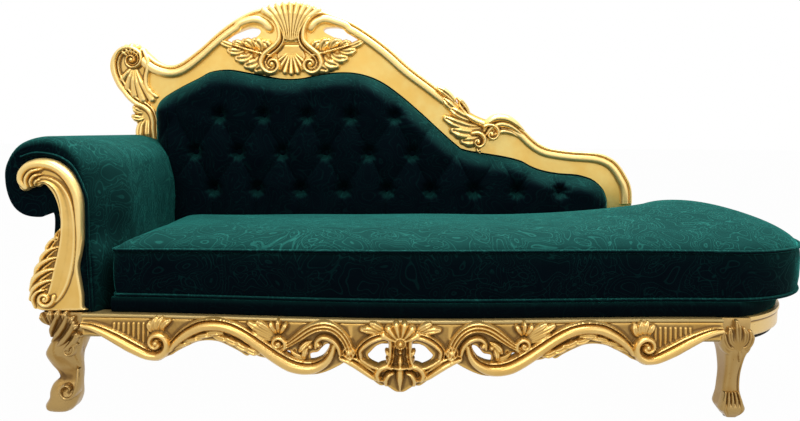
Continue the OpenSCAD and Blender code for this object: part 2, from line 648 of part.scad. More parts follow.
module opening_shape(room) {
    n = len(opening_path);
    polygon(concat([[open_left + room, open_z + room]],
        [for (i = [0 : n - 1]) opening_path[i] - across(opening_path, i) * room],
        [[open_right - room, open_z + room]]));
}
module hole_shape(shares) {
    polygon(placed(shares, back_x, back_span, rail_top, back_rise));
}
module back_shape() {
    difference() {
        polygon(concat([[back_x + back_span * stile_share, rail_top]], outer_path,
            [[back_right, rail_top]]));
        opening_shape(0);
        hole_shape(left_hole_share);
        hole_shape(right_hole_share);
    }
}
joint_left_share = 0.15;   // where the left stile meets the crest rail
joint_slope_share = 0.6;   // where the crest rail meets the sloping rail
joint_end_share = 0.8;     // where the sloping rail meets the right stile
module back_piece(from_share, to_share) {
    color(gilt) raise(back_y, back_t) difference() {
        intersection() {
            back_shape();
            translate([back_x + back_span * from_share, rail_top])
                square([back_span * (to_share - from_share), back_rise]);
        }
        translate([open_left, rail_top]) square([open_right - open_left, bottom_h]);
    }
}
module back_left_stile() {
    back_piece(0, joint_left_share);
}
module back_crest_rail() {
    back_piece(joint_left_share, joint_slope_share);
}
module back_slope_rail() {
    back_piece(joint_slope_share, joint_end_share);
}
module back_right_stile() {
    back_piece(joint_end_share, 1);
}
module back_bottom_rail() {
    color(gilt) raise(back_y, back_t) translate([open_left, rail_top])
        square([open_right - open_left, bottom_h]);
}

// Rounded moulding along the outer edge of the back frame
module back_bead(shares) {
    moulding(curve(placed(shares, back_x, back_span, rail_top, back_rise), 3),
        bead_w, bead_relief, board_y);
}
module back_moulding() {
    color(gilt) {
        back_bead(rise_share);
        back_bead(slope_share);
        back_bead(end_share);
    }
}

// Carvings of the crest: a shell between two scrolls, a smaller shell below it and
// a leaf on each side
shell_x_share = 0.3435;
shell_z_share = 0.855;
lower_z_share = 0.815;
lower_r_share = 0.088;
shell_half_share = 0.0511; // half the width of the upper shell, as a share of the back's length
lower_spread = 70;     // half angle of the lower shell
scroll_w = 18;
scroll_end_w = 9;
carving_relief = 16;
left_scroll_share = [[0.304, 0.948], [0.313, 0.936], [0.321, 0.92], [0.325, 0.884],
    [0.323, 0.844], [0.311, 0.818], [0.296, 0.795], [0.29, 0.77], [0.297, 0.752],
    [0.308, 0.757]];
right_scroll_share = [[0.398, 0.95], [0.381, 0.942], [0.368, 0.92], [0.362, 0.888],
    [0.362, 0.848], [0.372, 0.82], [0.385, 0.8], [0.392, 0.775], [0.385, 0.755],
    [0.375, 0.76]];
left_leaf_points_share = [[0.283, 0.81], [0.265, 0.838], [0.247, 0.845], [0.222, 0.848],
    [0.232, 0.822], [0.243, 0.806], [0.25, 0.784], [0.262, 0.776], [0.273, 0.757],
    [0.285, 0.752]];
right_leaf_points_share = [[0.402, 0.81], [0.418, 0.838], [0.436, 0.845], [0.468, 0.848],
    [0.457, 0.822], [0.447, 0.806], [0.44, 0.784], [0.426, 0.776], [0.415, 0.757],
    [0.402, 0.752]];
function back_place(shares) = placed(shares, back_x, back_span, rail_top, back_rise);
module scroll_shape(room) {
    ribbon(curve(back_place(left_scroll_share), 3), scroll_w + room, scroll_end_w + room);
    ribbon(curve(back_place(right_scroll_share), 3), scroll_w + room, scroll_end_w + room);
}
module crest_scrolls() {
    color(gilt) raise(board_y, carving_relief) {
        ribbon(curve(back_place(left_scroll_share), 3), scroll_w, scroll_end_w);
        ribbon(curve(back_place(right_scroll_share), 3), scroll_w, scroll_end_w);
    }
}
module crest_shell() {
    centre = back_place([[shell_x_share, shell_z_share]])[0];
    radius = height - centre[1];
    spread = asin(min(1, back_span * shell_half_share / radius));
    color(gilt) raise(board_y, carving_relief * 1.5) difference() {
        fan(centre, radius, 90 - spread, 90 + spread, 9, scroll_end_w);
        scroll_shape(2 * clear);
    }
}
module crest_lower_shell() {
    centre = back_place([[shell_x_share, lower_z_share]])[0];
    color(gilt) raise(board_y, carving_relief * 1.5) difference() {
        fan(centre, back_rise * lower_r_share, 270 - lower_spread, 270 + lower_spread, 7,
            scroll_end_w);
        scroll_shape(2 * clear);
    }
}
module crest_leaf(shares) {
    color(gilt) raise(board_y, carving_relief) difference() {
        polygon(back_place(shares));
        scroll_shape(2 * clear);
    }
}
module crest_left_leaf() {
    crest_leaf(left_leaf_points_share);
}
module crest_right_leaf() {
    crest_leaf(right_leaf_points_share);
}

// Shoulder of the back: a volute with a shell under it
volute_share = [0.0405, 0.78];
volute_r = 26;
volute_t = 9;
shoulder_share = [[0.022, 0.735], [0.018, 0.71], [0.028, 0.68], [0.044, 0.655],
    [0.06, 0.638], [0.082, 0.645], [0.083, 0.66], [0.07, 0.675], [0.066, 0.7],
    [0.066, 0.725], [0.06, 0.74]];
module shoulder_volute() {
    color(gilt) raise(board_y, carving_relief) translate(back_place([volute_share])[0]) {
        difference() {
            circle(r = volute_r);
            circle(r = volute_r - volute_t);
        }
        circle(r = volute_r - 2 * volute_t);
    }
}
module shoulder_shell() {
    color(gilt) raise(board_y, carving_relief) difference() {
        polygon(back_place(shoulder_share));
        translate(back_place([volute_share])[0]) circle(r = volute_r + clear);
    }
}

// Leaf that hides the joint of the sloping mouldings
slope_leaf_share = [[0.645, 0.645], [0.661, 0.65], [0.672, 0.615], [0.684, 0.592],
    [0.703, 0.577], [0.742, 0.572], [0.757, 0.552], [0.752, 0.52], [0.735, 0.515],
    [0.712, 0.475], [0.693, 0.458], [0.677, 0.495], [0.656, 0.52], [0.648, 0.57]];
module slope_leaf() {
    color(gilt) raise(board_y, carving_relief * 1.5) polygon(back_place(slope_leaf_share));
}

// Tufted pad of the back. Buttons lie on a leaning lattice of diamonds; pleats run from
// button to button, up to the top edge and down to the seat.
tuft_x_share = 0.202; // first button of the lowest row
tuft_z_share = 0.308; // height of the lowest row
tuft_lean = 0.1;      // how far the lattice leans for each unit of rise
pad_edge = 55;        // how far the crown takes to rise from the edge
pad_rim = 14;         // thickness at the edge
pad_columns = 60;
pad_rows = 16;
tuft_x = back_x + back_span * tuft_x_share;
tuft_z = rail_top + back_rise * tuft_z_share;
pad_room = 3;
pad_left = open_left + pad_room;
pad_right = open_right - pad_room;
roll_edge_share = [[0.43, 1], [0.7, 0.97], [0.9, 0.885], [0.97, 0.8], [1, 0.74]];
function roll_top(x) =
    rail_top + arm_h * lookup((x - arm_x) / arm_w, roll_edge_share) + 2 * pad_room;
function pad_top(x) = lookup(x, opening_path) - pad_room;
function pad_bottom(x) = x < arm_inside + over / 2 ? roll_top(x) : deck_z + clear;
function crease(x, z) =
    let (a = (x - tuft_lean * (z - tuft_z) - tuft_x) / tuft_step, b = (z - tuft_z) / (2 * tuft_row))
    let (c = b < 0 ? abs(sin(180 * a)) : b > 1 ? abs(sin(180 * a))
        : sqrt(abs(sin(180 * (a + b)) * sin(180 * (a - b)))))
    1 - pow(c, 0.6);
function button_places() = [
    for (row = [0 : 2])
        for (k = [-1 : 8])
            let (z = tuft_z + row * tuft_row)
            let (x = tuft_x + tuft_lean * row * tuft_row + tuft_step * (k + (row % 2) / 2))
            if (x > arm_inside + pad_edge / 2 && x < pad_right - pad_edge
                && z < pad_top(x) - pad_edge * 0.8) [x, z]];
buttons = button_places();
button_pull = 24;     // how wide a button's dimple is
function dimple(x, z) = max([for (b = buttons) exp(-pow(norm([x, z] - b) / button_pull, 2))]);
function pad_face(x, z) =
    let (left = x < arm_inside + over / 2 ? x - pad_left : pad_edge)
    let (e = max(0, min(left, pad_right - x, (pad_top(x) - z) * 0.85)))
    let (crown = pow(sin(90 * min(1, e / pad_edge)), 0.7))
    board_y - pad_rim - (pad_t - pad_rim) * crown * (1 - 0.2 * crease(x, z) - 0.3 * dimple(x, z));
pad_step = (pad_right - arm_inside - over) / pad_columns;
function column_face(x, z) =
    let (rise = (pad_top(x) - pad_bottom(x)) / pad_rows)
    let (s = (z - pad_bottom(x)) / rise, j = floor(s))
    pad_face(x, pad_bottom(x) + rise * j) * (1 - s + j)
    + pad_face(x, pad_bottom(x) + rise * (j + 1)) * (s - j);
function pad_surface(x, z) =
    let (t = (x - arm_inside - over) / pad_step, i = floor(t))
    let (left = arm_inside + over + pad_step * i)
    column_face(left, z) * (1 - t + i) + column_face(left + pad_step, z) * (t - i);
module back_pad() {
    xs = concat([for (i = [0 : 3]) pad_left + (arm_inside - pad_left) * i / 3],
        [for (i = [0 : pad_columns]) arm_inside + over + pad_step * i]);
    n = len(xs);
    m = pad_rows + 1;
    face = [for (x = xs) for (j = [0 : pad_rows])
        let (z = pad_bottom(x) + (pad_top(x) - pad_bottom(x)) * j / pad_rows)
        [x, pad_face(x, z), z]];
    rear = [for (x = xs) each [[x, board_y, pad_bottom(x)], [x, board_y, pad_top(x)]]];
    r = n * m;
    faces = concat(
        [for (i = [0 : n - 2]) for (j = [0 : pad_rows - 1])
            let (a = i * m + j) each [[a, a + 1, a + m], [a + m, a + 1, a + m + 1]]],
        [for (i = [0 : n - 2]) let (a = r + 2 * i) each [[a, a + 2, a + 1], [a + 2, a + 3, a + 1]]],
        [for (i = [0 : n - 2]) let (a = i * m, b = r + 2 * i)
            each [[a, a + m, b], [a + m, b + 2, b]]],
        [for (i = [0 : n - 2]) let (a = i * m + pad_rows, b = r + 2 * i + 1)
            each [[a, b, a + m], [a + m, b, b + 2]]],
        [for (j = [0 : pad_rows - 1]) [r, j + 1, j]], [[r, r + 1, pad_rows]],
        [for (j = [0 : pad_rows - 1]) let (a = (n - 1) * m) [r + 2 * n - 2, a + j, a + j + 1]],
        [[r + 2 * n - 2, (n - 1) * m + pad_rows, r + 2 * n - 1]]);
    color(velvet) polyhedron(concat(face, rear), faces);
}
button_r = 9;
button_t = 5;
module back_buttons() {
    color(velvet) for (b = buttons)
        translate([b[0], pad_surface(b[0], b[1]) + button_t / 2, b[1]]) rotate([90, 0, 0])
            intersection() {
                cylinder(r = button_r, h = 2 * button_t);
                translate([0, 0, button_t * 1.6 - button_r * 1.6]) sphere(r = button_r * 1.6);
            }
}

// Boards and cloth that close the back
backing_t = 8;
panel_t = 10;
panel_proud = 2;
module back_backing() {
    color(linen) raise(board_y + backing_t, backing_t) opening_shape(clear);
}
module back_panel() {
    color(dark_velvet) raise(back_y + panel_proud, panel_t) opening_shape(clear);
}

// Seat: webbing over the rails, a cloth-covered deck and a dust cover below
web_t = 2;
web_w = 50;
web_count = 9;
deck_left = arm_inside;
module seat_webbing() {
    color(linen) for (i = [0 : web_count - 1]) {
        x = deck_left + web_w / 2 + (right_block_x - deck_left - web_w) * i / (web_count - 1);
        translate([x - web_w / 2, front(x) + lip * 2, rail_top])
            cube([web_w, board_y - front(x) - lip * 2 - clear, web_t]);
    }
}
module deck_shape() {
    steps = 28;
    r = end_r - lip;
    sweep = asin((end_half - lip) / r);
    difference() {
        polygon(concat(
            [for (i = [0 : steps]) let (x = deck_left + (right_block_end - deck_left) * i / steps)
                [x, front(x) + lip]],
            [for (i = [0 : steps]) let (a = -sweep + 2 * sweep * i / steps)
                [end_x - end_r + r * cos(a), mid_y + r * sin(a)]],
            [[right_block_end, back_y - lip], [deck_left, back_y - lip]]));
        translate([deck_left - clear, board_y - clear])
            square([back_right + 2 * clear - deck_left, back_y]);
    }
}
module seat_deck() {
    color(dark_velvet) translate([0, 0, rail_top + web_t]) linear_extrude(deck_h - web_t)
        deck_shape();
}
cover_t = 1.5;
module dust_cover() {
    color(linen) translate([0, 0, rail_z - cover_t]) linear_extrude(cover_t) difference() {
        union() {
            polygon(concat(
                [for (i = [0 : 24]) let (x = block_x + lip + (right_block_end - block_x - lip)
                    * i / 24) [x, front(x) + rail_t * 0.6]],
                [[right_block_end, back_y - rail_t * 0.4], [block_x + lip, back_y - rail_t * 0.4]]));
            intersection() {
                translate([end_x - end_r, mid_y]) circle(r = end_r - rail_t * 0.4, $fn = 96);
                translate([right_block_end - over, mid_y - end_half + lip])
                    square([end_reach, 2 * end_half - 2 * lip]);
            }
        }
        for (x = [[block_x, left_block_w], [right_block_x, right_block_w]])
            for (y = [front_y, back_y - block_d])
                translate([x[0] - lip, y - lip]) square([x[1] + 2 * lip, block_d + 2 * lip]);
    }
}

// Loose cushion. Its envelope follows the front rail, turns round the end and steps
// forward in front of the tufted pad.
cushion_left = arm_inside + clear;
cushion_back = pad_y - clear;
cushion_deep = board_y - bead_relief - clear;
cushion_front_in = 6; // the cushion's front lies this far behind the rail's
front_steps = 28;
turn_steps = 22;
back_steps = 26;
corner_r = 22;
corner_end = 250;     // where the front corner's arc meets the front edge
draw_in = 4;          // how far the straight sides draw in at their middle
front_cushion = front_y + cushion_front_in;
end_round = (cushion_deep - front_cushion) / 2;
end_centre = [right_x - end_round, (cushion_deep + front_cushion) / 2];
step_x = pad_right + pad_room;
step_w = 36;
function arc(centre, r, from, to, steps) = [
    for (i = [0 : steps]) centre + r * [cos(from + (to - from) * i / steps),
        sin(from + (to - from) * i / steps)]];
envelope = concat(
    [for (i = [0 : front_steps - 1])
        let (x = cushion_left + corner_r
            + (end_centre[0] - cushion_left - corner_r) * i / front_steps)
        [x, front(x) + cushion_front_in]],
    arc(end_centre, end_round, -90, 90, turn_steps),
    [for (i = [0 : 4]) let (t = i / 4)
        [step_x + step_w * (1 - t), cushion_deep + (cushion_back - cushion_deep)
            * (1 - cos(180 * t)) / 2]],
    [for (i = [1 : back_steps - 1])
        let (t = i / back_steps)
        [step_x + (cushion_left + corner_r - step_x) * t, cushion_back - draw_in * sin(180 * t)]],
    arc([cushion_left + corner_r, cushion_back - corner_r], corner_r, 90, 180, 3),
    [for (i = [1 : 5]) let (t = i / 6)
        [cushion_left + draw_in * sin(180 * t),
            cushion_back - corner_r + (front(cushion_left) + cushion_front_in + 2 * corner_r
                - cushion_back) * t]],
    arc([cushion_left + corner_r, front(cushion_left) + cushion_front_in + corner_r],
        corner_r, 180, corner_end, 2));
function shifted(path, d) = [
    for (i = [0 : len(path) - 1])
        let (v = path[(i + 1) % len(path)] - path[(i + len(path) - 1) % len(path)])
        path[i] - d * [v[1], -v[0]] / norm(v)];
spine_end = 230;      // how far the crown's ridge stops from the arm
spine_y = (front_cushion + cushion_back) / 2;
seam_turn = 150;      // degrees of the wave that the top seam follows along the cushion
dome_x_share = 0.854; // where the cushion stands highest, from the arm to the round end
dome_left_share = 0.163;
dome_right_share = 0.125;
dome_depth_share = 0.8; // how far back the crown climbs before it stands highest
dome_x = cushion_left + dome_x_share * (right_x - cushion_left);
function ridge(p) = [min(max(p[0], cushion_left + spine_end), end_centre[0]), spine_y];
function seam_z(x) = cushion_z + cushion_h
    + cushion_rise * sin(seam_turn * (x - cushion_left) / (right_x - cushion_left));
function dome_back(y) = pow(sin(90 * max(0, min(1, (y - front_cushion)
    / (dome_depth_share * (cushion_back - front_cushion))))), 2);
function crown_h(p) = cushion_crown + dome_h * dome_back(p[1]) * exp(-pow((p[0] - dome_x)
    / ((p[0] < dome_x ? dome_left_share : dome_right_share) * (right_x - cushion_left)), 2));
crown_share = [[0.045, 0.27], [0.12, 0.52], [0.27, 0.78], [0.5, 0.94], [0.78, 1]];
side_share = [[-0.35, 0], [0, 0.12], [0.5, 0.5], [0, 0.88], [0, 1]];
module seat_cushion() {
    body = shifted(envelope, 2 * piping_r + clear);
    n = len(body);
    sides = [for (s = side_share) let (p = shifted(body, -s[0] * piping_r))
        for (q = p) [q[0], q[1], cushion_z + (seam_z(q[0]) - cushion_z) * s[1]]];
    crown = [for (s = crown_share) for (q = body)
        let (p = q + (ridge(q) - q) * s[0])
        [p[0], p[1], seam_z(p[0]) + crown_h(p) * s[1]]];
    rings = len(side_share) + len(crown_share);
    middle = [(cushion_left + end_centre[0]) / 2, spine_y];
    points = concat(sides, crown, [[middle[0], middle[1], cushion_z],
        [middle[0], middle[1], seam_z(middle[0]) + crown_h(middle)]]);
    last = (rings - 1) * n;
    color(velvet) polyhedron(points, concat(
        [for (r = [0 : rings - 2]) for (k = [0 : n - 1])
            let (a = r * n + k, b = r * n + (k + 1) % n) each [[a, a + n, b], [b, a + n, b + n]]],
        [for (k = [0 : n - 1]) each [[rings * n, k, (k + 1) % n],
            [rings * n + 1, last + (k + 1) % n, last + k]]]));
}
module cushion_piping() {
    path = shifted(envelope, piping_r);
    color(velvet) {
        loop_tube([for (p = path) [p[0], p[1], seam_z(p[0])]], piping_r);
        loop_tube([for (p = path) [p[0], p[1], cushion_z + piping_r]], piping_r);
    }
}

// Fasteners
screw_r = 2.5;
screw_l = 45;
bolt_r = 4;
bolt_l = 90;
module block_screws() {
    places = [[rail_x + brace * 0.35, back_y - back_rail_t - brace * 0.35, 1],
        [right_block_x - brace * 0.35, back_y - back_rail_t - brace * 0.35, 1],
        [block_x + rail_t + brace * 0.35, back_y - block_d - brace * 0.35, 1],
        [block_x + rail_t + brace * 0.35, front_y + block_d + brace * 0.35, -1]];
    color(steel) for (p = places)
        translate([p[0], p[1], rail_z + rail_h * 0.35]) rotate([-90 * p[2], 0, 0])
            cylinder(r = screw_r, h = screw_l);
}
module back_bolts() {
    y = back_y - back_t / 2;
    places = [(back_x + back_span * stile_share + open_left) / 2,
        open_left + (open_right - open_left) / 3, open_left + (open_right - open_left) * 2 / 3,
        (open_right + back_right) / 2];
    color(steel) for (x = places)
        translate([x, y, rail_top - bolt_l / 2]) cylinder(r = bolt_r, h = bolt_l);
}

front_rail();
back_rail();
left_rail();
end_rail();
cross_rails();
corner_blocks();
front_left_leg();
front_right_leg();
back_left_leg();
back_right_leg();
left_knee_leaf();
right_knee_leaf();
leg_glides();
apron_left_fret();
apron_right_fret();
apron_left_scrolls();
apron_right_scrolls();
apron_left_flutes();
apron_right_flutes();
apron_left_flower();
apron_right_flower();
apron_cartouche();
arm_panel();
arm_roller();
arm_pad();
arm_piping();
arm_facing();
arm_facing_leaf();
back_left_stile();
back_crest_rail();
back_slope_rail();
back_right_stile();
back_bottom_rail();
back_moulding();
crest_shell();
crest_lower_shell();
crest_scrolls();
crest_left_leaf();
crest_right_leaf();
shoulder_volute();
shoulder_shell();
slope_leaf();
back_backing();
back_pad();
back_buttons();
back_panel();
seat_webbing();
seat_deck();
dust_cover();
seat_cushion();
cushion_piping();
block_screws();
back_bolts();
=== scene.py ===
# %% [markdown]
# A fainting couch with a carved and gilded frame, dressed over its CAD model. The
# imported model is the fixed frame: wood, velvet and carving are made here as surfaces
# worked out with numpy, and each one takes the place of its plain solid.

# %% Load the frame
import math

import bmesh
import bpy
import numpy as np
from mathutils import Matrix


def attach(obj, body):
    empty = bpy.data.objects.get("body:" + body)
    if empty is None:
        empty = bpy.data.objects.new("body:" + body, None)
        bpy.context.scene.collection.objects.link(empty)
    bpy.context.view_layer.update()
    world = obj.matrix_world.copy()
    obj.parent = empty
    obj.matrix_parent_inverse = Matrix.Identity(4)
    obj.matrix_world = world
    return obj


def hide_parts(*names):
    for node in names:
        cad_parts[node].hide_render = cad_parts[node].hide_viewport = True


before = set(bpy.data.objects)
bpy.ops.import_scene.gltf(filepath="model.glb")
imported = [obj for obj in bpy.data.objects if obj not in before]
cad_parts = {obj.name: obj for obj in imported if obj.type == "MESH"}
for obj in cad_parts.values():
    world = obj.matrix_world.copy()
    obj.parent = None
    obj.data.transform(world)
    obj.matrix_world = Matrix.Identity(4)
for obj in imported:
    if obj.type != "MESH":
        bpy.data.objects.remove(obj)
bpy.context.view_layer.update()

# %% [markdown]
# The measures below repeat the CAD source, in millimetres. A piece is worked out in
# millimetres too and becomes metres in its mesh, so the numbers stay easy to read.

# %% Measures of the couch
MM = 0.001
LEFT_X, RIGHT_X = -1049.0, 1049.0
RAIL_TOP, RAIL_Z, RAIL_T = 262.0, 200.0, 30.0
FRONT_Y, BACK_Y, BOARD_Y, PAD_Y = -305.4, 345.0, 309.0, 224.0
BLOCK_X, RAIL_X, RIGHT_BLOCK_X, RIGHT_BLOCK_END = -965.0, -863.0, 734.0, 809.0
LEFT_BLOCK_W, RIGHT_BLOCK_W, BLOCK_D = 102.0, 75.0, 76.0
END_R, END_CENTRE_X, MID_Y, END_HALF = 351.5, 649.5, 19.8, 313.2
DECK_Z, CLEAR = 300.0, 0.3
BACK_X, BACK_SPAN, BACK_RISE, BACK_T = -1021.0, 1717.0, 871.0, 36.0
FACE_Y = -299.7          # plane behind the gilded scroll of the arm
FRET_T = 8.0             # pierced plate behind the carving of the apron
APRON_MID, APRON_DROP = -69.5, 185.0
HALF_LEFT, HALF_RIGHT = 793.5, -803.5
SWELL, SWELL_MIDDLE, SWELL_HALF = 40.0, -64.5, 798.5
# How far in front of its wood the carving's outlines are laid: back, arm, apron and leg
BACK_LIFT, ARM_LIFT, APRON_LIFT, LEG_LIFT = 10.0, 18.0, 18.0, 12.0
CARVING_ROOT = 10.0      # how deep the carving of the back is set into its boards


def front(x):
    """The front rail's line: straight, and swelling forward as a squared cosine."""
    t = np.clip((np.asarray(x, float) - SWELL_MIDDLE) / SWELL_HALF, -1, 1)
    return FRONT_Y - SWELL * np.cos(t * np.pi / 2) ** 2


# %% [markdown]
# The camera stands 2.04 m in front of the couch at 0.72 m, looks down 6.4 degrees and
# leans half a degree. The same numbers turn a pixel of the frame into a ray, so that an
# outline can be laid on the plane where its wood stands.

# %% Camera
EYE = np.array([-73.0, -2040.6, 720.0])
FOCAL, MID_U, MID_V = 710.0, 400.0, 210.5
FRAME_WIDTH, SENSOR = 800.0, 36.0
pitch, roll = math.radians(6.4), math.radians(-0.5)
cr, sr, cp, sp = math.cos(roll), math.sin(roll), math.cos(pitch), math.sin(pitch)
RIGHTWARD = np.array([cr, -sr * sp, -sr * cp])
DOWNWARD = np.array([-sr, -cr * sp, -cr * cp])
AHEAD = np.array([0.0, cp, -sp])

camera_data = bpy.data.cameras.new("camera")
camera_data.sensor_fit = "HORIZONTAL"
camera_data.sensor_width = SENSOR
camera_data.lens = FOCAL / FRAME_WIDTH * SENSOR
camera = bpy.data.objects.new("camera", camera_data)
bpy.context.scene.collection.objects.link(camera)
turn = Matrix([list(v) for v in zip(RIGHTWARD, -DOWNWARD, -AHEAD)]).to_4x4()
turn.translation = EYE * MM
camera.matrix_world = turn
bpy.context.scene.camera = camera
print("lens", round(camera_data.lens, 2), "mm")


def seen(flat, y=BOARD_Y):
    """Pixels u, v laid on a surface that faces the viewer, as rows of x and z in millimetres.
    y is the surface's depth: a number for a flat board, or a function of x for the swelling
    apron, where the ray is followed again from each new x."""
    uv = np.asarray(flat, float).reshape(-1, 2)
    a, b = uv[:, :1] - MID_U, uv[:, 1:] - MID_V
    ray = (a * RIGHTWARD + b * DOWNWARD) / FOCAL + AHEAD
    depth = np.full(len(uv), y if np.isscalar(y) else float(FRONT_Y))
    for _ in range(1 if np.isscalar(y) else 4):
        if not np.isscalar(y):
            x = EYE[0] + ray[:, 0] * (depth - EYE[1]) / ray[:, 1]
            depth = y(x)
    reach = (depth - EYE[1]) / ray[:, 1]
    return np.stack([EYE[0] + ray[:, 0] * reach, EYE[2] + ray[:, 2] * reach], axis=1)


def on_back(flat):
    """Pixels on the carving of the back."""
    return seen(flat, BOARD_Y - BACK_LIFT)


def on_arm(flat):
    """Pixels on the gilded scroll of the arm."""
    return seen(flat, FACE_Y - ARM_LIFT)


def on_apron(flat):
    """Pixels on the swelling face of the apron."""
    return seen(flat, lambda x: front(x) - APRON_LIFT)


def on_leg(flat):
    """Pixels on the front of a leg."""
    return seen(flat, FRONT_Y - LEG_LIFT)


# %% [markdown]
# Shader maths reads better as plain expressions. This small class wraps a socket, so
# that 1 - mask or noise * 0.2 adds the Math nodes; every other node comes from node().

# %% Shader expressions
class Wire:
    """One socket in a material. Operators add Math nodes that work on it."""

    def __init__(self, tree, socket):
        self.tree, self.socket = tree, socket

    def math(self, operation, *others):
        return Paint(self.tree).node("ShaderNodeMath", {"operation": operation}, self, *others)

    def __add__(self, other):
        return self.math("ADD", other)

    def __sub__(self, other):
        return self.math("SUBTRACT", other)

    def __rsub__(self, other):
        return Paint(self.tree).node("ShaderNodeMath", {"operation": "SUBTRACT"}, other, self)

    def __mul__(self, other):
        return self.math("MULTIPLY", other)

    def clamp(self):
        return self.math("MAXIMUM", 0.0).math("MINIMUM", 1.0)

    def step(self, low, high):
        """0 below low, 1 above high and smooth between them; high may be the lower one."""
        kind = {"interpolation_type": "SMOOTHSTEP", "clamp": True}
        return Paint(self.tree).node("ShaderNodeMapRange", kind, self, low, high)


class Paint:
    """A node tree that is filled one node at a time."""

    def __init__(self, tree):
        self.tree = tree

    def node(self, kind, settings=None, *values, out=0, **named):
        """Adds one node: settings first, then the sockets in their order, then those by name.
        Out is the place of the output that is passed on."""
        node = self.tree.nodes.new(kind)
        for key, value in (settings or {}).items():
            setattr(node, key, value)
        for key, value in list(enumerate(values)) + list(named.items()):
            socket = node.inputs[key]
            if isinstance(value, Wire):
                self.tree.links.new(value.socket, socket)
            elif value is not None:
                socket.default_value = value
        return Wire(self.tree, node.outputs[out])

    def mix(self, factor, a, b):
        """Colour a where the factor is 0 and colour b where it is 1."""
        node = self.tree.nodes.new("ShaderNodeMix")
        node.data_type = "RGBA"
        for place, value in ((0, factor), (6, a), (7, b)):
            if isinstance(value, Wire):
                self.tree.links.new(value.socket, node.inputs[place])
            elif place and len(value) == 3:
                node.inputs[place].default_value = (*value, 1.0)
            else:
                node.inputs[place].default_value = value
        return Wire(self.tree, node.outputs[2])

    def noise(self, where, scale, detail=2.0, rough=0.5):
        """Noise from 0 to 1: scale is its count per metre, detail its finer layers."""
        return self.node("ShaderNodeTexNoise", None, Vector=where, Scale=scale, Detail=detail,
                         Roughness=rough)

    def place(self, scale=(1.0, 1.0, 1.0)):
        """Object coordinates, stretched."""
        where = self.node("ShaderNodeTexCoord", None, out=3)
        return self.node("ShaderNodeMapping", None, where, Scale=scale)


def new_material(name, base, **sockets):
    """A Principled material with a plain base colour and constants on its sockets."""
    material = bpy.data.materials.new(name)
    material.use_nodes = True
    shader = material.node_tree.nodes["Principled BSDF"]
    shader.inputs["Base Color"].default_value = (*base, 1.0)
    for key, value in sockets.items():
        shader.inputs[key.replace("_", " ")].default_value = value
    material.diffuse_color = (*base, 1.0)
    return material, Paint(material.node_tree), shader


def feed(paint, shader, **wires):
    """Links wires to the shader: Base_Color, Roughness, Metallic or Height for bump."""
    for key, wire in wires.items():
        if key == "Height":
            height, strength, distance = wire
            bump = paint.node("ShaderNodeBump", None, Strength=strength, Distance=distance,
                              Height=height)
            paint.tree.links.new(bump.socket, shader.inputs["Normal"])
        else:
            paint.tree.links.new(wire.socket, shader.inputs[key.replace("_", " ")])


# %% [markdown]
# Gilding: gold paint or leaf over carved wood. It is satin, with a painted highlight where
# the carving stands proud and painted shade, in umber, in the recesses. Each carved mesh
# carries an attribute named carve, below zero in a hollow and above zero on a ridge, and
# this painted light and shade follows it.

# %% Gilt
# PALE_GOLD is also the painted highlight on ridges, and UMBER the painted shade in recesses
GOLD, PALE_GOLD, UMBER = (0.72, 0.44, 0.10), (0.95, 0.70, 0.28), (0.13, 0.062, 0.013)
# Noise per metre: slow clouds of wear, fine brush marks and specks of glaze
CLOUD, FINE, SPECK = 9.0, 160.0, 420.0


def make_gilt(name, tone=1.0, rough=0.34, warm=0.0):
    """Gold: base colour mixed by the carve attribute, as painted shade in the hollows and a
    painted highlight on the ridges, and by slow noise, with a brushed bump. Tone scales its
    colours, for lit and shaded copies, and warm takes green and blue away from them."""
    tint = tone * np.array([1.0, 1 - 0.5 * warm, 1 - warm])
    base, pale = tuple(np.minimum(tint * GOLD, 1)), tuple(np.minimum(tint * PALE_GOLD, 1))
    material, paint, shader = new_material(name, base, Metallic=0.72, Roughness=rough,
                                           Coat_Weight=0.12, Coat_Roughness=0.3)
    carve = paint.node("ShaderNodeAttribute", {"attribute_name": "carve"}, out=2)
    where = paint.place()
    cloud = paint.noise(where, CLOUD, 3.0, 0.6)
    fine = paint.noise(where, FINE, 4.0, 0.65)
    grain = paint.noise(paint.place((6.0, 60.0, 60.0)), 6.0, 3.0, 0.5)
    worn = paint.mix(cloud.step(0.35, 0.7) * 0.35, base, pale)
    # painted highlight: ridges of the carving turn pale
    ridge_highlight = (carve + (fine - 0.5) * 0.25).step(0.1, 0.9)
    lit = paint.mix(ridge_highlight * 0.75, worn, pale)
    # painted shade: hollows of the carving turn umber
    hollow = ((0.0 - carve) + (fine - 0.5) * 0.3).step(0.08, 1.05)
    colour = paint.mix(hollow * 0.85, lit, UMBER)
    speck = paint.noise(where, SPECK, 2.0, 0.5).step(0.7, 0.78)
    colour = paint.mix(speck * 0.25, colour, UMBER)
    feed(paint, shader, Base_Color=colour,
         Roughness=(hollow * 0.3 + fine * 0.16 + (rough - 0.08)).clamp(),
         Height=(fine * 0.5 + grain * 0.5, 0.12, 0.0015))
    return material


gilt = make_gilt("gilt", tone=1.06)
# Lit and shaded copies of the gilt, set by tone: the back boards are painted lighter as lit flats,
# while the rails, the apron and the low legs are painted darker as shade
gilt_board_lit = make_gilt("gilt_board_lit", tone=1.24, rough=0.32, warm=-0.06)
gilt_rail_shaded = make_gilt("gilt_rail_shaded", tone=0.45, rough=0.42)
gilt_apron_shaded = make_gilt("gilt_apron_shaded", tone=0.88, rough=0.3, warm=0.08)
gilt_low_shaded = make_gilt("gilt_low_shaded", tone=0.48, rough=0.3, warm=0.22)
print("gilt made")

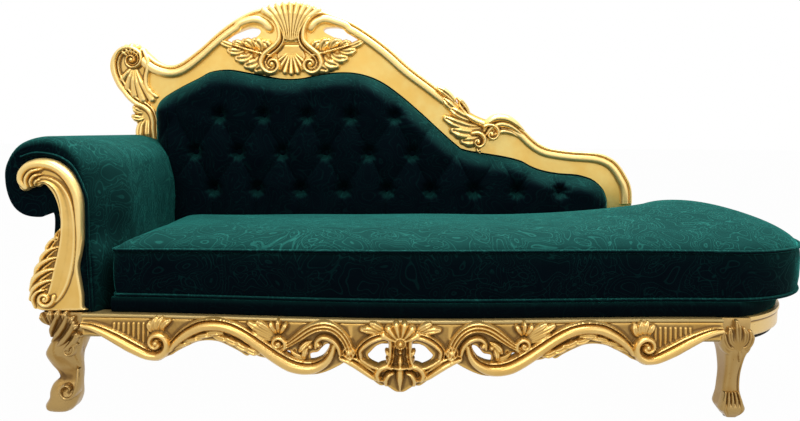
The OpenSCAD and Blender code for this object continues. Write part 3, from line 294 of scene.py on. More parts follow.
# %% [markdown]
# Velvet: dark blue-green pile, painted almost black on upright faces and lighter on top as
# painted light from above; sheen adds the soft edge light. Its damask is tone
# on tone: thin scrolling lines, made as contours of a warped noise, that curl like paisley.

# %% Velvet
# Painted light: the first colours are for upright faces in shade, the second for faces lit from
# above
UPRIGHT_SHADED = [(0.0003, 0.0010, 0.0032), (0.0006, 0.0055, 0.0080), (0.0010, 0.0220, 0.0220)]
LEVEL_LIT = [(0.0030, 0.0230, 0.0215), (0.0080, 0.0660, 0.0580), (0.0190, 0.1700, 0.1400)]
# Damask: noise per metre and contours of its large and its small curls, and the shares of a
# contour's step between which its line fades
BIG, SMALL, BIG_RINGS, SMALL_RINGS, THREAD = 15.0, 34.0, 12.0, 8.0, (0.10, 0.03)
# Noise per metre of the warp that bends the curls, of crushed patches and of the pile
WARP, CRUSH, PILE = 9.0, 14.0, 900.0


def make_velvet(name, depth=1.0, line=1.0, turn=(0.05, 0.95)):
    """Velvet: contour lines of warped noise, two sizes, lift the colour and press the pile.
    Each colour runs from its shaded value on upright faces to its lit value on level ones as
    the normal's upward share goes through the two values of turn: painted light from above."""
    upright, level = [[tuple(depth * c for c in colour) for colour in group]
                      for group in (UPRIGHT_SHADED, LEVEL_LIT)]
    material, paint, shader = new_material(name, upright[1], Roughness=0.85,
                                           Specular_IOR_Level=0.03, Sheen_Weight=0.85,
                                           Sheen_Roughness=0.22,
                                           Sheen_Tint=(0.05, 0.52, 0.44, 1.0))
    where = paint.place()
    normal = paint.node("ShaderNodeTexCoord", None, out=1)
    split = paint.node("ShaderNodeSeparateXYZ", None, normal)
    across, up = split, Wire(paint.tree, split.socket.node.outputs[2])
    # painted light: faces turned up get the lit colours, upright faces the shaded ones
    top_light = (up + across.math("ABSOLUTE") * 0.4).step(*turn)
    deep, live, bright = [paint.mix(top_light, low, high) for low, high in zip(upright, level)]
    warp = paint.node("ShaderNodeTexNoise", None, out=1, Vector=where, Scale=WARP, Detail=1.0)
    bent = paint.node("ShaderNodeVectorMath", {"operation": "MULTIPLY_ADD"}, warp,
                      (0.10, 0.10, 0.10), where)
    big = paint.noise(bent, BIG, 0.0)
    small = paint.noise(bent, SMALL, 0.0)
    rings = (big * BIG_RINGS).math("PINGPONG", 0.5)
    curls = (small * SMALL_RINGS).math("PINGPONG", 0.5)
    motif = big.step(0.42, 0.5) * (1.0 - big.step(0.62, 0.7))
    lines = rings.step(*THREAD) * 0.7 + curls.step(*THREAD) * motif * 0.9
    lines = lines.clamp() * line
    pile = paint.noise(where, PILE, 2.0, 0.6)
    crush = paint.noise(where, CRUSH, 3.0, 0.55)
    tone = (crush * 0.55 + pile * 0.35).clamp()
    colour = paint.mix(tone, deep, live)
    colour = paint.mix(lines * 0.5, colour, bright)
    feed(paint, shader, Base_Color=colour, Roughness=(0.9 - lines * 0.2).clamp(),
         Height=(lines * -0.6 + pile * 0.35 + crush * 0.4, 0.28, 0.002))
    return material


velvet = make_velvet("velvet")
# The pad's copy paints less light on its upward facets and has fainter damask
back_velvet_less_top_light = make_velvet("back_velvet_less_top_light", line=0.7, turn=(0.3, 1.35))
# A darker copy of the velvet as painted shade: for the deck under the cushion and the shadow line
# round the pad
dark_velvet = make_velvet("dark_velvet", depth=0.7, line=0.4)
print("velvet made")

# %% [markdown]
# The rest is seldom seen: raw beech inside, webbing, the dust cover's thin cloth, steel
# and the plastic glides under the feet. Each still gets its grain, weave or wear.

# %% Other finishes
def make_beech():
    """Raw beech: stretched noise gives the grain and short darker flecks."""
    material, paint, shader = new_material("beech", (0.55, 0.36, 0.19), Roughness=0.6)
    grain = paint.noise(paint.place((3.0, 40.0, 40.0)), 4.0, 5.0, 0.6)
    fleck = paint.noise(paint.place((40.0, 260.0, 260.0)), 3.0, 2.0, 0.5).step(0.62, 0.7)
    colour = paint.mix(grain.step(0.3, 0.75), (0.62, 0.42, 0.24), (0.42, 0.25, 0.12))
    colour = paint.mix(fleck * 0.4, colour, (0.22, 0.12, 0.06))
    feed(paint, shader, Base_Color=colour, Roughness=grain * 0.25 + 0.5,
         Height=(grain, 0.2, 0.001))
    return material


def make_cloth(name, base, pitch):
    """Woven cloth: two crossed sine waves make the threads, with uneven dye."""
    material, paint, shader = new_material(name, base, Roughness=0.9, Sheen_Weight=0.15,
                                           Specular_IOR_Level=0.2)
    where = paint.place()
    split = paint.node("ShaderNodeSeparateXYZ", None, where)
    other = Wire(paint.tree, split.socket.node.outputs[1])
    turns = 2 * math.pi / pitch
    weave = (split * turns).math("SINE") * (other * turns).math("SINE") * 0.5 + 0.5
    dye = paint.noise(where, 30.0, 3.0, 0.6)
    colour = paint.mix((weave * 0.5 + dye * 0.5).clamp(), tuple(0.6 * c for c in base),
                       tuple(1.25 * c for c in base))
    feed(paint, shader, Base_Color=colour, Roughness=(0.95 - weave * 0.15).clamp(),
         Height=(weave, 0.4, 0.0006))
    return material


def make_plain(name, base, metallic, rough, scale):
    """Metal or plastic with fine scratches in its roughness and bump."""
    material, paint, shader = new_material(name, base, Metallic=metallic, Roughness=rough)
    mark = paint.noise(paint.place((1.0, 1.0, 12.0)), scale, 4.0, 0.7)
    colour = paint.mix(mark.step(0.55, 0.8) * 0.5, base, tuple(0.6 * c for c in base))
    feed(paint, shader, Base_Color=colour, Roughness=(mark * 0.3 + rough - 0.1).clamp(),
         Height=(mark, 0.1, 0.0004))
    return material


beech = make_beech()
dust_cloth = make_cloth("dust_cloth", (0.035, 0.035, 0.038), 0.0024)
linen = make_cloth("linen", (0.36, 0.29, 0.2), 0.003)
steel = make_plain("steel", (0.55, 0.56, 0.58), 1.0, 0.32, 90.0)
glide_plastic = make_plain("glide_plastic", (0.05, 0.05, 0.052), 0.0, 0.5, 140.0)
print("finishes made")

# %% [markdown]
# Every new piece goes through the same few tools: a smooth curve through points, faces
# of a grid, and one function that turns arrays into a mesh, names its body and finish
# and hides the plain solid that it stands for.

# %% Curves and meshes
def curve(points, step=3.0, closed=False):
    """A smooth path through points, resampled evenly: each span is a cubic that leaves and
    meets its points along the line that joins the neighbours."""
    p = np.asarray(points, float)
    ends = (p[-1:], p[:2]) if closed else (2 * p[:1] - p[1:2], 2 * p[-1:] - p[-2:-1])
    e = np.concatenate([ends[0], p, ends[1]])
    a, b, c, d = (e[k:len(e) - 3 + k, None] for k in range(4))
    t = (np.arange(16) / 16)[None, :, None]
    q = (2 * b + (c - a) * t + (2 * a - 5 * b + 4 * c - d) * t ** 2
         + (3 * b - a - 3 * c + d) * t ** 3) / 2
    q = np.concatenate([q.reshape(-1, p.shape[1]), p[:1] if closed else p[-1:]])
    s = np.concatenate([[0], np.cumsum(np.linalg.norm(np.diff(q, axis=0), axis=1))])
    n = max(3, int(round(s[-1] / step)) + 1)
    spots = np.linspace(0, s[-1], n)[:n - 1 if closed else n]
    return np.stack([np.interp(spots, s, q[:, k]) for k in range(p.shape[1])], axis=1)


def at_share(s, values):
    """Values given at even steps along a length, read at the shares s of that length."""
    return np.interp(s, np.linspace(0, 1, len(values)), values)


def shares(flat, x=BACK_X, w=BACK_SPAN, z=RAIL_TOP, h=BACK_RISE):
    """Shares of a width and a height, as the CAD source lists them, turned into places."""
    return np.asarray(flat, float).reshape(-1, 2) * [w, h] + [x, z]


def grid_faces(rows, columns, wrap=False):
    """Quads of a grid of points that is stored row after row; wrap closes each row."""
    i = np.arange(rows - 1)[:, None] * columns
    k = np.arange(columns if wrap else columns - 1)[None, :]
    right = (k + 1) % columns
    quads = np.stack([i + k, i + right, i + columns + right, i + columns + k], axis=2)
    return quads.reshape(-1, 4)


def end_caps(rows, columns):
    """The first and the last row of such a grid, each as one face."""
    first = np.arange(columns)
    return np.array([first[::-1], first + (rows - 1) * columns])


def slab_faces(quads, rim, n):
    """Faces of a slab: n points in front, as many behind them, and walls along the rim."""
    wall = np.stack([rim[:, 1], rim[:, 0], rim[:, 0] + n, rim[:, 1] + n], axis=1)
    return np.concatenate([quads, quads[:, ::-1] + n, wall])


CARVE_SCALE = 900.0      # an offset of about a millimetre counts as a full ridge or hollow


def carve_map(mesh, rounds):
    """How far each vertex stands above the smoothed surface: the neighbours are averaged a
    few times, and the offset from that average along the normal is kept, from -1 to 1."""
    n = len(mesh.vertices)
    co, normal = np.empty(n * 3), np.empty(n * 3)
    mesh.vertices.foreach_get("co", co)
    mesh.vertices.foreach_get("normal", normal)
    co, normal = co.reshape(-1, 3), normal.reshape(-1, 3)
    ends = np.empty(len(mesh.edges) * 2, np.int32)
    mesh.edges.foreach_get("vertices", ends)
    a, b = ends.reshape(-1, 2).T
    count = np.maximum(np.bincount(a, minlength=n) + np.bincount(b, minlength=n), 1)
    soft = co.copy()
    for _ in range(rounds):
        soft = np.stack([(np.bincount(a, soft[b, k], n) + np.bincount(b, soft[a, k], n)) / count
                         for k in range(3)], axis=1)
    value = np.clip(((co - soft) * normal).sum(axis=1) * CARVE_SCALE, -1, 1)
    layer = mesh.attributes.new("carve", "FLOAT", "POINT")
    layer.data.foreach_set("value", value.astype(np.float32))


def piece(name, points, faces, material, body="couch", slot="gilt_wood", stands_for=(),
          carved=False, sharp=55.0, rounds=10, turn_out=True):
    """Builds a mesh from millimetre points and lists of equal faces, smooth except where it
    turns by more than the sharp angle, and gives it its body, finish and plain solids."""
    mesh = bpy.data.meshes.new(name)
    faces = [np.asarray(f, np.int32) for f in (faces if isinstance(faces, list) else [faces])]
    loops = np.concatenate([f.ravel() for f in faces])
    sizes = np.concatenate([np.full(len(f), f.shape[1]) for f in faces])
    mesh.vertices.add(len(points))
    mesh.vertices.foreach_set("co", (np.asarray(points, float) * MM).ravel())
    mesh.loops.add(len(loops))
    mesh.loops.foreach_set("vertex_index", loops)
    mesh.polygons.add(len(sizes))
    mesh.polygons.foreach_set("loop_start", np.concatenate([[0], np.cumsum(sizes)[:-1]]))
    mesh.polygons.foreach_set("use_smooth", np.ones(len(sizes), bool))
    mesh.update(calc_edges=True)
    mesh.validate()
    if turn_out:
        shape = bmesh.new()
        shape.from_mesh(mesh)
        bmesh.ops.recalc_face_normals(shape, faces=shape.faces)
        shape.to_mesh(mesh)
        shape.free()
    mesh.set_sharp_from_angle(angle=math.radians(sharp))
    if carved:
        carve_map(mesh, rounds)
    mesh.materials.append(material)
    thing = bpy.data.objects.new(name, mesh)
    bpy.context.scene.collection.objects.link(thing)
    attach(thing, body)
    if stands_for:
        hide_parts(*stands_for)
    print(name, len(mesh.polygons), "faces")
    return thing


def sides_of(path):
    """Unit tangents and left-hand normals of a flat path."""
    t = np.gradient(path, axis=0)
    t /= np.linalg.norm(t, axis=1, keepdims=True)
    return t, np.stack([-t[:, 1], t[:, 0]], axis=1)


# %% [markdown]
# Carving is a relief: for every point of a flat field there is one height. Each form,
# a band, a leaf, a shell or a boss, gives a signed distance to its edge and a height
# inside it, and the highest form wins, as a carver leaves the front one standing. The
# field becomes a grid of quads whose rim is moved onto the outline, so edges stay clean.

# %% Relief forms
def chunks(points, size=20000):
    """Slices of many points, so that no table of distances grows too large."""
    return [slice(k, k + size) for k in range(0, len(points), size)]


def nearest(path, points):
    """Where points lie along a path: the share of its length and the signed distance to its
    left. Past the ends the distance is the straight one, which rounds the ends off."""
    t, n = sides_of(path)
    step = np.linalg.norm(path[1] - path[0])
    along, offset = np.empty(len(points)), np.empty(len(points))
    for part in chunks(points):
        p = points[part]
        square = (path ** 2).sum(axis=1) - 2 * p @ path.T
        k = square.argmin(axis=1)
        gap = p - path[k]
        forward = (gap * t[k]).sum(axis=1)
        side = (gap * n[k]).sum(axis=1)
        past = ((k == 0) & (forward < 0)) | ((k == len(path) - 1) & (forward > 0))
        along[part] = np.clip((k + forward / step) / (len(path) - 1), 0, 1)
        offset[part] = np.where(past, np.copysign(np.hypot(forward, side), side), side)
    return along, offset


def within(box_points, margin, form):
    """Limits a form to its own neighbourhood: elsewhere it is far away and has no height."""
    low = box_points.min(axis=0) - margin
    high = box_points.max(axis=0) + margin

    def limited(points):
        d, h = np.full(len(points), 99.0), np.zeros(len(points))
        hit = ((points > low) & (points < high)).all(axis=1)
        if hit.any():
            d[hit], h[hit] = form(points[hit])
        return d, h
    limited.low, limited.high = low, high
    return limited


def rounded(u):
    """Half round: the height of a circle over its chord."""
    return np.sqrt(np.clip(1 - u ** 2, 0, 1))


def reeded(u):
    """Two ridges beside a groove, the right one slimmer."""
    return np.where(u < 0.35, rounded((u + 0.325) / 0.675), 0.8 * rounded((u - 0.675) / 0.325))


def dished(u):
    """A hollow between two rims."""
    return rounded(u ** 4) * (0.62 + 0.38 * np.abs(u) ** 1.6)


def rimmed(u):
    """A broad convex band with one thin rim along its right edge."""
    return np.where(u < 0.58, rounded((u + 0.21) / 0.79), 0.78 * rounded((u - 0.79) / 0.21))


def triple(u):
    """Three reeds side by side, the middle one proud."""
    return rounded(u ** 3) * (0.5 + 0.5 * np.abs(np.cos(1.5 * np.pi * u)) ** 0.7)


def band(path, width, height, section=rounded, step=2.0):
    """A ribbon along a path: width and height are given at points spread evenly along it,
    and the section gives the share of the height from one edge, -1, to the other, 1."""
    path = curve(path, step)
    width, height = np.atleast_1d(width).astype(float), np.atleast_1d(height).astype(float)

    def form(points):
        s, e = nearest(path, points)
        half, rise = at_share(s, width) / 2, at_share(s, height)
        u = e / half
        return np.abs(e) - half, rise * section(np.clip(u, -1, 1))
    return within(path, width.max() / 2 + 4, form)


def lobe(root, tip, width, height, bend=0.18):
    """One lobe of a leaf: it leaves its root, bends to the left by a share of its length,
    swells towards its middle and ends in a blunt tip, with a vein down its back."""
    root, tip = np.asarray(root, float).reshape(2), np.asarray(tip, float).reshape(2)
    along = tip - root
    left = np.array([-along[1], along[0]])
    path = [root, root + along * 0.35 + left * bend, root + along * 0.72 + left * bend * 0.8, tip]
    share = np.array([0.45, 0.8, 1.0, 1.12, 1.08, 0.7])
    rise = np.array([0.4, 0.62, 0.8, 0.95, 1.08, 0.8])

    def veined(u):
        return rounded(u) * (1 - 0.24 * np.exp(-(u / 0.24) ** 2))
    return band(path, share * width, rise * height, section=veined, step=1.5)


def lobes(on, rows, side=1):
    """Lobes from rows of (pixels of root and tip, width, height, bend); on lays the pixels
    on their surface, and side is -1 where the drawing is mirrored."""
    return [lobe(*on(flat), width, height, side * bend) for flat, width, height, bend in rows]


def shell(centre, radius, start, end, ribs, height, inner, scallop):
    """A fan of convex ribs between two angles in degrees, scalloped at its rim: the rib is
    the sine of the angle's share, and the height grows from 35 % in the middle to the rim.
    Inner is the share of the radius that stays open, scallop that of the notches."""
    centre = np.asarray(centre, float)
    start, end = math.radians(start), math.radians(end)

    def form(points):
        gap = points - centre
        r = np.hypot(gap[:, 0], gap[:, 1])
        middle = (start + end) / 2
        a = np.arctan2(gap[:, 1], gap[:, 0])
        a = middle + (a - middle + np.pi) % (2 * np.pi) - np.pi
        share = (a - start) / (end - start)
        rib = np.abs(np.sin(np.pi * ribs * np.clip(share, 0, 1)))
        rim = radius * (1 - scallop * (1 - rib ** 0.7))
        side = np.maximum(start - a, a - end) * r
        d = np.maximum(np.maximum(r - rim, side), inner * radius - r)
        t = np.clip(r / rim, 0, 1)
        curl = 1 - 0.45 * np.clip((t - 0.86) / 0.14, 0, 1) ** 2
        return d, height * (0.35 + 0.65 * t ** 1.3) * (0.35 + 0.65 * rib ** 0.8) * curl
    ring = centre + radius * np.array([[-1.0, -1.0], [1.0, 1.0]])
    return within(ring, 4, form)


def boss(centre, radius, height, ring=False):
    """A dome, with a sunk ring round it when asked."""
    centre = np.asarray(centre, float).reshape(-1)

    def form(points):
        r = np.hypot(*(points - centre).T) / radius
        dome = height * rounded(np.clip(r, 0, 1))
        if ring:
            dome = np.where(r > 0.6, height * 0.75 * rounded((r - 0.8) / 0.2),
                            height * rounded(r / 0.6))
        return (r - 1) * radius, dome
    return within(centre + radius * np.array([[-1.0, -1.0], [1.0, 1.0]]), 4, form)


def edge_distance(outline, points):
    """Signed distance to a closed outline, below zero inside: the nearest point of every
    side, and a count of the sides crossed on the way out for the sign."""
    a = np.asarray(outline, float)
    b = np.roll(a, -1, axis=0)
    along = b - a
    size = np.maximum((along ** 2).sum(axis=1), 1e-9)
    out = np.empty(len(points))
    for part in chunks(points, 4000):
        p = points[part][:, None]
        t = np.clip(((p - a) * along).sum(axis=2) / size, 0, 1)
        gap = p - a - t[..., None] * along
        cross = ((a[:, 1] > p[..., 1]) != (b[:, 1] > p[..., 1]))
        slope = (p[..., 1] - a[:, 1]) / np.where(along[:, 1] == 0, 1e-9, along[:, 1])
        inside = (cross & (p[..., 0] < a[:, 0] + slope * along[:, 0])).sum(axis=1) % 2 == 1
        d = np.sqrt((gap ** 2).sum(axis=2).min(axis=1))
        out[part] = np.where(inside, -d, d)
    return out


def plate(outline, height, soft=6.0, holes=()):
    """A flat region with a rounded edge: the height climbs along a quarter circle that is
    soft millimetres wide. Holes are cut out of it."""
    outline = np.asarray(outline, float)

    def form(points):
        d = edge_distance(outline, points)
        for hole in holes:
            d = np.maximum(d, -edge_distance(hole, points))
        return d, height * rounded(np.clip(1 + d / soft, 0, 1))
    return within(outline, 6, form)


def spiral(centre, start, turns, r_end, count=40):
    """Points that wind from a start point into a centre: the angle grows evenly and the
    radius shrinks by the same share each step. Turns below zero wind clockwise."""
    centre, start = np.asarray(centre, float).reshape(2), np.asarray(start, float).reshape(2)
    gap = start - centre
    r0, a0 = np.hypot(*gap), math.atan2(gap[1], gap[0])
    t = np.linspace(0, 1, count)
    r = r0 * (r_end / r0) ** t
    a = a0 + 2 * np.pi * turns * t
    return centre + np.stack([r * np.cos(a), r * np.sin(a)], axis=1)


def blend_forms(forms, points):
    """The nearest edge and the greatest height of many forms."""
    d, h = np.full(len(points), 99.0), np.zeros(len(points))
    for form in forms:
        one_d, one_h = form(points)
        h = np.where(one_d < 0, np.maximum(h, one_h), h)
        d = np.minimum(d, one_d)
    return d, h


# %% Relief to mesh
def field_cells(distance, low, high, pitch):
    """Quads of a square grid that lie inside an outline, where distance is below zero. The
    points of the rim are moved along the slope of the distance until they lie on it.
    Returns points, quads, rim edges in travel order and the outward direction at each point."""
    nx, nz = (np.ceil((np.asarray(high) - low) / pitch).astype(int) + 1)
    gx, gz = np.meshgrid(np.arange(nx) * pitch + low[0], np.arange(nz) * pitch + low[1],
                         indexing="ij")
    flat = np.stack([gx.ravel(), gz.ravel()], axis=1)
    d = distance(flat).reshape(nx, nz)
    keep = d < 0.6 * pitch
    cell = keep[:-1, :-1] & keep[1:, :-1] & keep[1:, 1:] & keep[:-1, 1:]
    around = np.pad(cell, 1)
    used = around[:-1, :-1] | around[1:, :-1] | around[1:, 1:] | around[:-1, 1:]
    full = around[:-1, :-1] & around[1:, :-1] & around[1:, 1:] & around[:-1, 1:]
    rim = used & ~full
    out = np.stack(np.gradient(np.clip(d, -6 * pitch, 6 * pitch), pitch), axis=2)
    out /= np.maximum(np.linalg.norm(out, axis=2, keepdims=True), 1e-6)
    moved = np.stack([gx, gz], axis=2)
    shift = np.clip(d, -0.85 * pitch, 0.6 * pitch)
    moved[rim] -= (shift[..., None] * out)[rim]
    index = -np.ones((nx, nz), np.int64)
    index[used] = np.arange(used.sum())
    i, k = np.nonzero(cell)
    quads = np.stack([index[i, k], index[i + 1, k], index[i + 1, k + 1], index[i, k + 1]], axis=1)
    edges = []
    for corner, (di, dk) in enumerate(((0, -1), (1, 0), (0, 1), (-1, 0))):
        open_side = ~around[1 + i + di, 1 + k + dk]
        edges.append(quads[open_side][:, [corner, (corner + 1) % 4]])
    return moved[used], quads, np.concatenate(edges), out[used]


def relief(name, forms, pitch, surface, back, material=None, stands_for=(), smooth=1,
           clip=None, carved=True, shade_below=0.0):
    """A carved piece: heights of the forms stand in front of a surface, back is how far its
    flat rear lies behind that surface, and walls join the two round the rim. Clip keeps a
    span of x, and places sunk below the last height given are marked as hollow, as painted shade."""
    low = np.min([f.low for f in forms], axis=0)
    high = np.max([f.high for f in forms], axis=0)
    if clip is not None:
        low, high = np.maximum(low, [clip[0], low[1]]), np.minimum(high, [clip[1], high[1]])

    def edge(points):
        d = blend_forms(forms, points)[0]
        if clip is not None:
            d = np.maximum(d, np.maximum(clip[0] - points[:, 0], points[:, 0] - clip[1]))
        return d
    flat, quads, rim, _ = field_cells(edge, low, high, pitch)
    h = blend_forms(forms, flat)[1]
    pairs = np.concatenate([quads[:, [k, (k + 1) % 4]] for k in range(4)])
    ties = np.maximum(np.bincount(pairs[:, 0], minlength=len(flat)), 1)
    for _ in range(smooth):
        h = 0.4 * h + 0.6 * np.bincount(pairs[:, 0], h[pairs[:, 1]], len(flat)) / ties
    y = surface(flat[:, 0]) if callable(surface) else np.full(len(flat), float(surface))
    n = len(flat)
    face = np.stack([flat[:, 0], y - h, flat[:, 1]], axis=1)
    rear = np.stack([flat[:, 0], y + back, flat[:, 1]], axis=1)
    thing = piece(name, np.concatenate([face, rear]), slab_faces(quads, rim, n),
                  material or gilt, stands_for=stands_for, carved=carved, turn_out=False)
    if shade_below:
        layer = thing.data.attributes["carve"].data
        value = np.empty(len(layer), np.float32)
        layer.foreach_get("value", value)
        # painted shade: low places between the carved forms are pushed towards hollow, so the gilt
        # turns them umber
        depth = np.clip((shade_below - np.concatenate([h, np.full(n, shade_below)])) / (0.7 * shade_below), 0, 1)
        layer.foreach_set("value", np.clip(0.6 * value - 0.62 * depth, -1, 1).astype(np.float32))
    return thing

# %% [markdown]
# The back frame is cut from boards about 36 mm thick. Their front is not flat: it dips a
# little between the moulding and the pad, and its edges are eased. The outline repeats
# the shares of the CAD source, so each board stands exactly where its plain solid is.

# %% Back boards
ear = [.068, .495, .073, .54, .062, .584, .036, .633, .013, .68, 0, .75, .008, .804, .029, .832,
       .062, .819]
rise = [.073, .803, .091, .775, .114, .761, .136, .773, .171, .822, .206, .882, .236, .925,
        .267, .958, .293, .974]
crest = [.323, .985, .344, .988, .369, .983, .395, .971]
slope = [.421, .952, .455, .928, .493, .884, .531, .829, .568, .765, .607, .708, .636, .665]
dip = [.669, .617, .696, .585, .726, .565, .757, .556]
end = [.772, .549, .79, .529, .804, .503, .819, .481, .839, .466, .878, .456, .916, .452,
       .935, .447, .951, .436, .965, .419, .977, .393, .987, .363, .995, .333, .999, .299, 1, .259]
opening = [.087, .577, .089, .606, .101, .638, .132, .676, .17, .714, .193, .737, .227, .745,
           .265, .734, .322, .715, .36, .715, .398, .73, .436, .739, .474, .734, .512, .708,
           .55, .658, .589, .594, .627, .527, .659, .473, .674, .456, .712, .443, .751, .431,
           .782, .416, .801, .397, .821, .382, .852, .37, .889, .365, .904, .359, .918, .35,
           .93, .335, .94, .316, .946, .297, .951, .268]
left_hole = [.22, .855, .24, .878, .266, .897, .283, .89, .274, .872, .255, .861, .236, .853]
right_hole = [.408, .896, .432, .9, .455, .885, .47, .861, .447, .853, .428, .874]
JOINTS = (.15, .6, .8)

outer_path = curve(shares(ear + rise + crest + slope + dip + end), 6.0)
opening_path = curve(shares(opening), 6.0)
OPEN_LEFT, OPEN_RIGHT = opening_path[0, 0], opening_path[-1, 0]
board_outline = np.concatenate([[[BACK_X + BACK_SPAN * .068, RAIL_TOP]], outer_path,
                                [[outer_path[-1, 0], RAIL_TOP]]])
open_outline = np.concatenate([[[OPEN_LEFT, RAIL_TOP - 9]], opening_path,
                               [[OPEN_RIGHT, RAIL_TOP - 9]]])
hole_outlines = [curve(shares(hole), 4.0, closed=True) for hole in (left_hole, right_hole)]


def board(points):
    """Height of a back board: its edges are eased over 5 mm, a dip of 1.5 mm runs 26 mm
    from the opening as a bell curve, and the pierced holes are 6 mm wider all round."""
    out = edge_distance(board_outline, points)
    hollow = edge_distance(open_outline, points)
    d = np.maximum(out, -hollow)
    for hole in hole_outlines:
        d = np.maximum(d, 6 - edge_distance(hole, points))
    dish = -1.5 * np.exp(-((hollow - 26) / 22) ** 2)
    return d, dish - 3.0 * (1 - rounded(np.clip(1 + np.minimum(d, 0) / 5.0, 0, 1)))


board_form = within(board_outline, 2, board)
cuts = [BACK_X - 1] + [BACK_X + BACK_SPAN * s for s in JOINTS] + [BACK_X + BACK_SPAN + 1]
board_nodes = ("back_left_stile", "back_crest_rail", "back_slope_rail", "back_right_stile")
for node, x_from, x_to in zip(board_nodes, cuts[:-1], cuts[1:]):
    relief("board_" + node[5:], [board_form], 3.0, BOARD_Y, BACK_T, gilt_board_lit, (node,),
           clip=(x_from, x_to), smooth=0, carved=False)

# %% [markdown]
# A rounded moulding runs along the outer edge: a slim rim, a groove and a fat bead. It is
# one section carried along the edge, and it ends in a curl under the crest's scrolls. At
# the right end the bead is lower, so that the loose cushion can be lifted past it.

# %% Moulding of the back
def sweep(path, section, y, wide=(1.0, 1.0), ends=(1.0, 1.0)):
    """A solid section carried along a flat path: the section's rows are the distance to the
    right of the path and the height in front of y. wide widens it along the way, and at each
    end it shrinks to a share."""
    _, left = sides_of(path)
    section = np.asarray(section, float)
    n, m = len(path), len(section)
    s = np.linspace(0, 1, n)
    size = np.ones(n)
    for end_share, gap in ((ends[0], s), (ends[1], 1 - s)):
        if end_share < 1:
            size *= end_share + (1 - end_share) * rounded(np.clip(1 - gap / 0.04, 0, 1))
    middle = section[:, 0].mean()
    across = middle + (section[None, :, 0] - middle) * size[:, None]
    across *= at_share(s, wide)[:, None]
    rise_by = section[None, :, 1] * size[:, None]
    x = path[:, :1] - left[:, :1] * across
    z = path[:, 1:] - left[:, 1:] * across
    points = np.stack([x, y - rise_by, z], axis=2).reshape(-1, 3)
    return points, [grid_faces(n, m, wrap=True)[:, ::-1], end_caps(n, m)[:, ::-1]]


def joined(parts):
    """Several meshes of (points, [quads, caps]) as one."""
    starts = np.cumsum([0] + [len(p) for p, _ in parts])
    return (np.concatenate([p for p, _ in parts]),
            [np.concatenate([f[k] + n for (_, f), n in zip(parts, starts)]) for k in (0, 1)])


RIM_W, BEAD_MIDDLE, BEAD_HALF, BEAD_LOW_END, SUNK = 9.0, 22.0, 12.5, 0.78, -6.0
turn_in = np.linspace(0, np.pi, 11)
rim_arch = np.stack([RIM_W / 2 * (1 - np.cos(turn_in)), 8 * np.sin(turn_in) + 3], axis=1)
rim_section = np.concatenate([[[0.0, SUNK]], rim_arch, [[RIM_W, SUNK]]])
bead_arch = np.stack([-BEAD_HALF * np.cos(turn_in), 16 * np.sin(turn_in) ** 0.8 + 2], axis=1)
bead_section = np.concatenate([[[-BEAD_HALF, SUNK]], bead_arch, [[BEAD_HALF, SUNK]]])
left_curl = on_back([240, 23.5, 250, 20, 257.5, 19.8, 264, 22.5, 268.5, 27, 271, 32.5])
right_curl = on_back([309.5, 32.5, 311.5, 26.5, 316.5, 21.5, 325, 19, 335, 21.5, 345, 25.2])
edges_of_bead = {
    "rise": (rise, (1.3, 1.15, 1.0, 1.1, 1.25)),
    "slope": (crest[-2:] + slope + dip[:2], (1.2, 1.1, 1.1, 1.05, 1.0)),
    "end": ([.74, .56, .757, .556] + end, (1.0, 0.95, 1.0, 1.05, 1.1))}
rims, beads = [], []
for name, (line, wide) in edges_of_bead.items():
    edge = curve(shares(line), 7.0)
    rims.append(sweep(edge, rim_section, BOARD_Y, wide))
    reach = BEAD_MIDDLE * at_share(np.linspace(0, 1, len(edge)), wide)
    middle = edge - sides_of(edge)[1] * reach[:, None]
    if name == "rise":
        middle = np.concatenate([middle[middle[:, 0] < left_curl[0, 0] - 12], left_curl])
    if name == "slope":
        middle = np.concatenate([right_curl, middle[middle[:, 0] > right_curl[-1, 0] + 12]])
    low = [1.0, BEAD_LOW_END if name == "end" else 1.0]
    beads.append(sweep(curve(middle, 7.0), bead_section * low, BOARD_Y, wide,
                       (1.0, 0.3) if name == "rise" else (0.3, 1.0)))
points, faces = joined(rims + beads)
piece("moulding_bead", points, faces, gilt, stands_for=("back_moulding",), carved=True, sharp=70)

# %% [markdown]
# The crest: a tall shell between two C scrolls, a small shell hanging below it, and an
# acanthus leaf on each side under a pierced opening.

# %% Crest carving
crest_forms = [
    plate(on_back([284, 43, 281, 30, 276, 18, 264, 10, 270, 6.5, 280, 5, 291, 3, 302, 5, 312, 6.5,
                    319, 10, 306, 18, 301, 30, 298, 43]), 15.0, 4.0),
    plate(on_back([280, 44, 302, 44, 306, 56, 303, 66, 280, 66, 276, 56]), 9.0, 6.0),
    shell(on_back([291, 50])[0], 83, 212, 328, 7, 22, inner=0.05, scallop=0.1)]
for t in np.linspace(-1, 1, 9):
    rib = on_back([291 + 6.8 * t, 40.5 - 2 * t * t, 291 + 9.4 * t, 30, 291 + 16 * t, 19,
                    291 + 27 * t, 4.5 + 6 * t * t])
    crest_forms.append(band(rib, [7, 9, 16, 23, 22], [22, 23, 24, 25, 21],
                            section=lambda u: 0.45 + 0.55 * rounded(u)))
left_scroll = np.array([262, 12.5, 269, 14.5, 275, 19, 279, 25.5, 281, 33, 280.5, 40.5, 276.5, 46.5,
                        270.5, 51.5, 265.5, 56, 263, 62]).reshape(-1, 2)
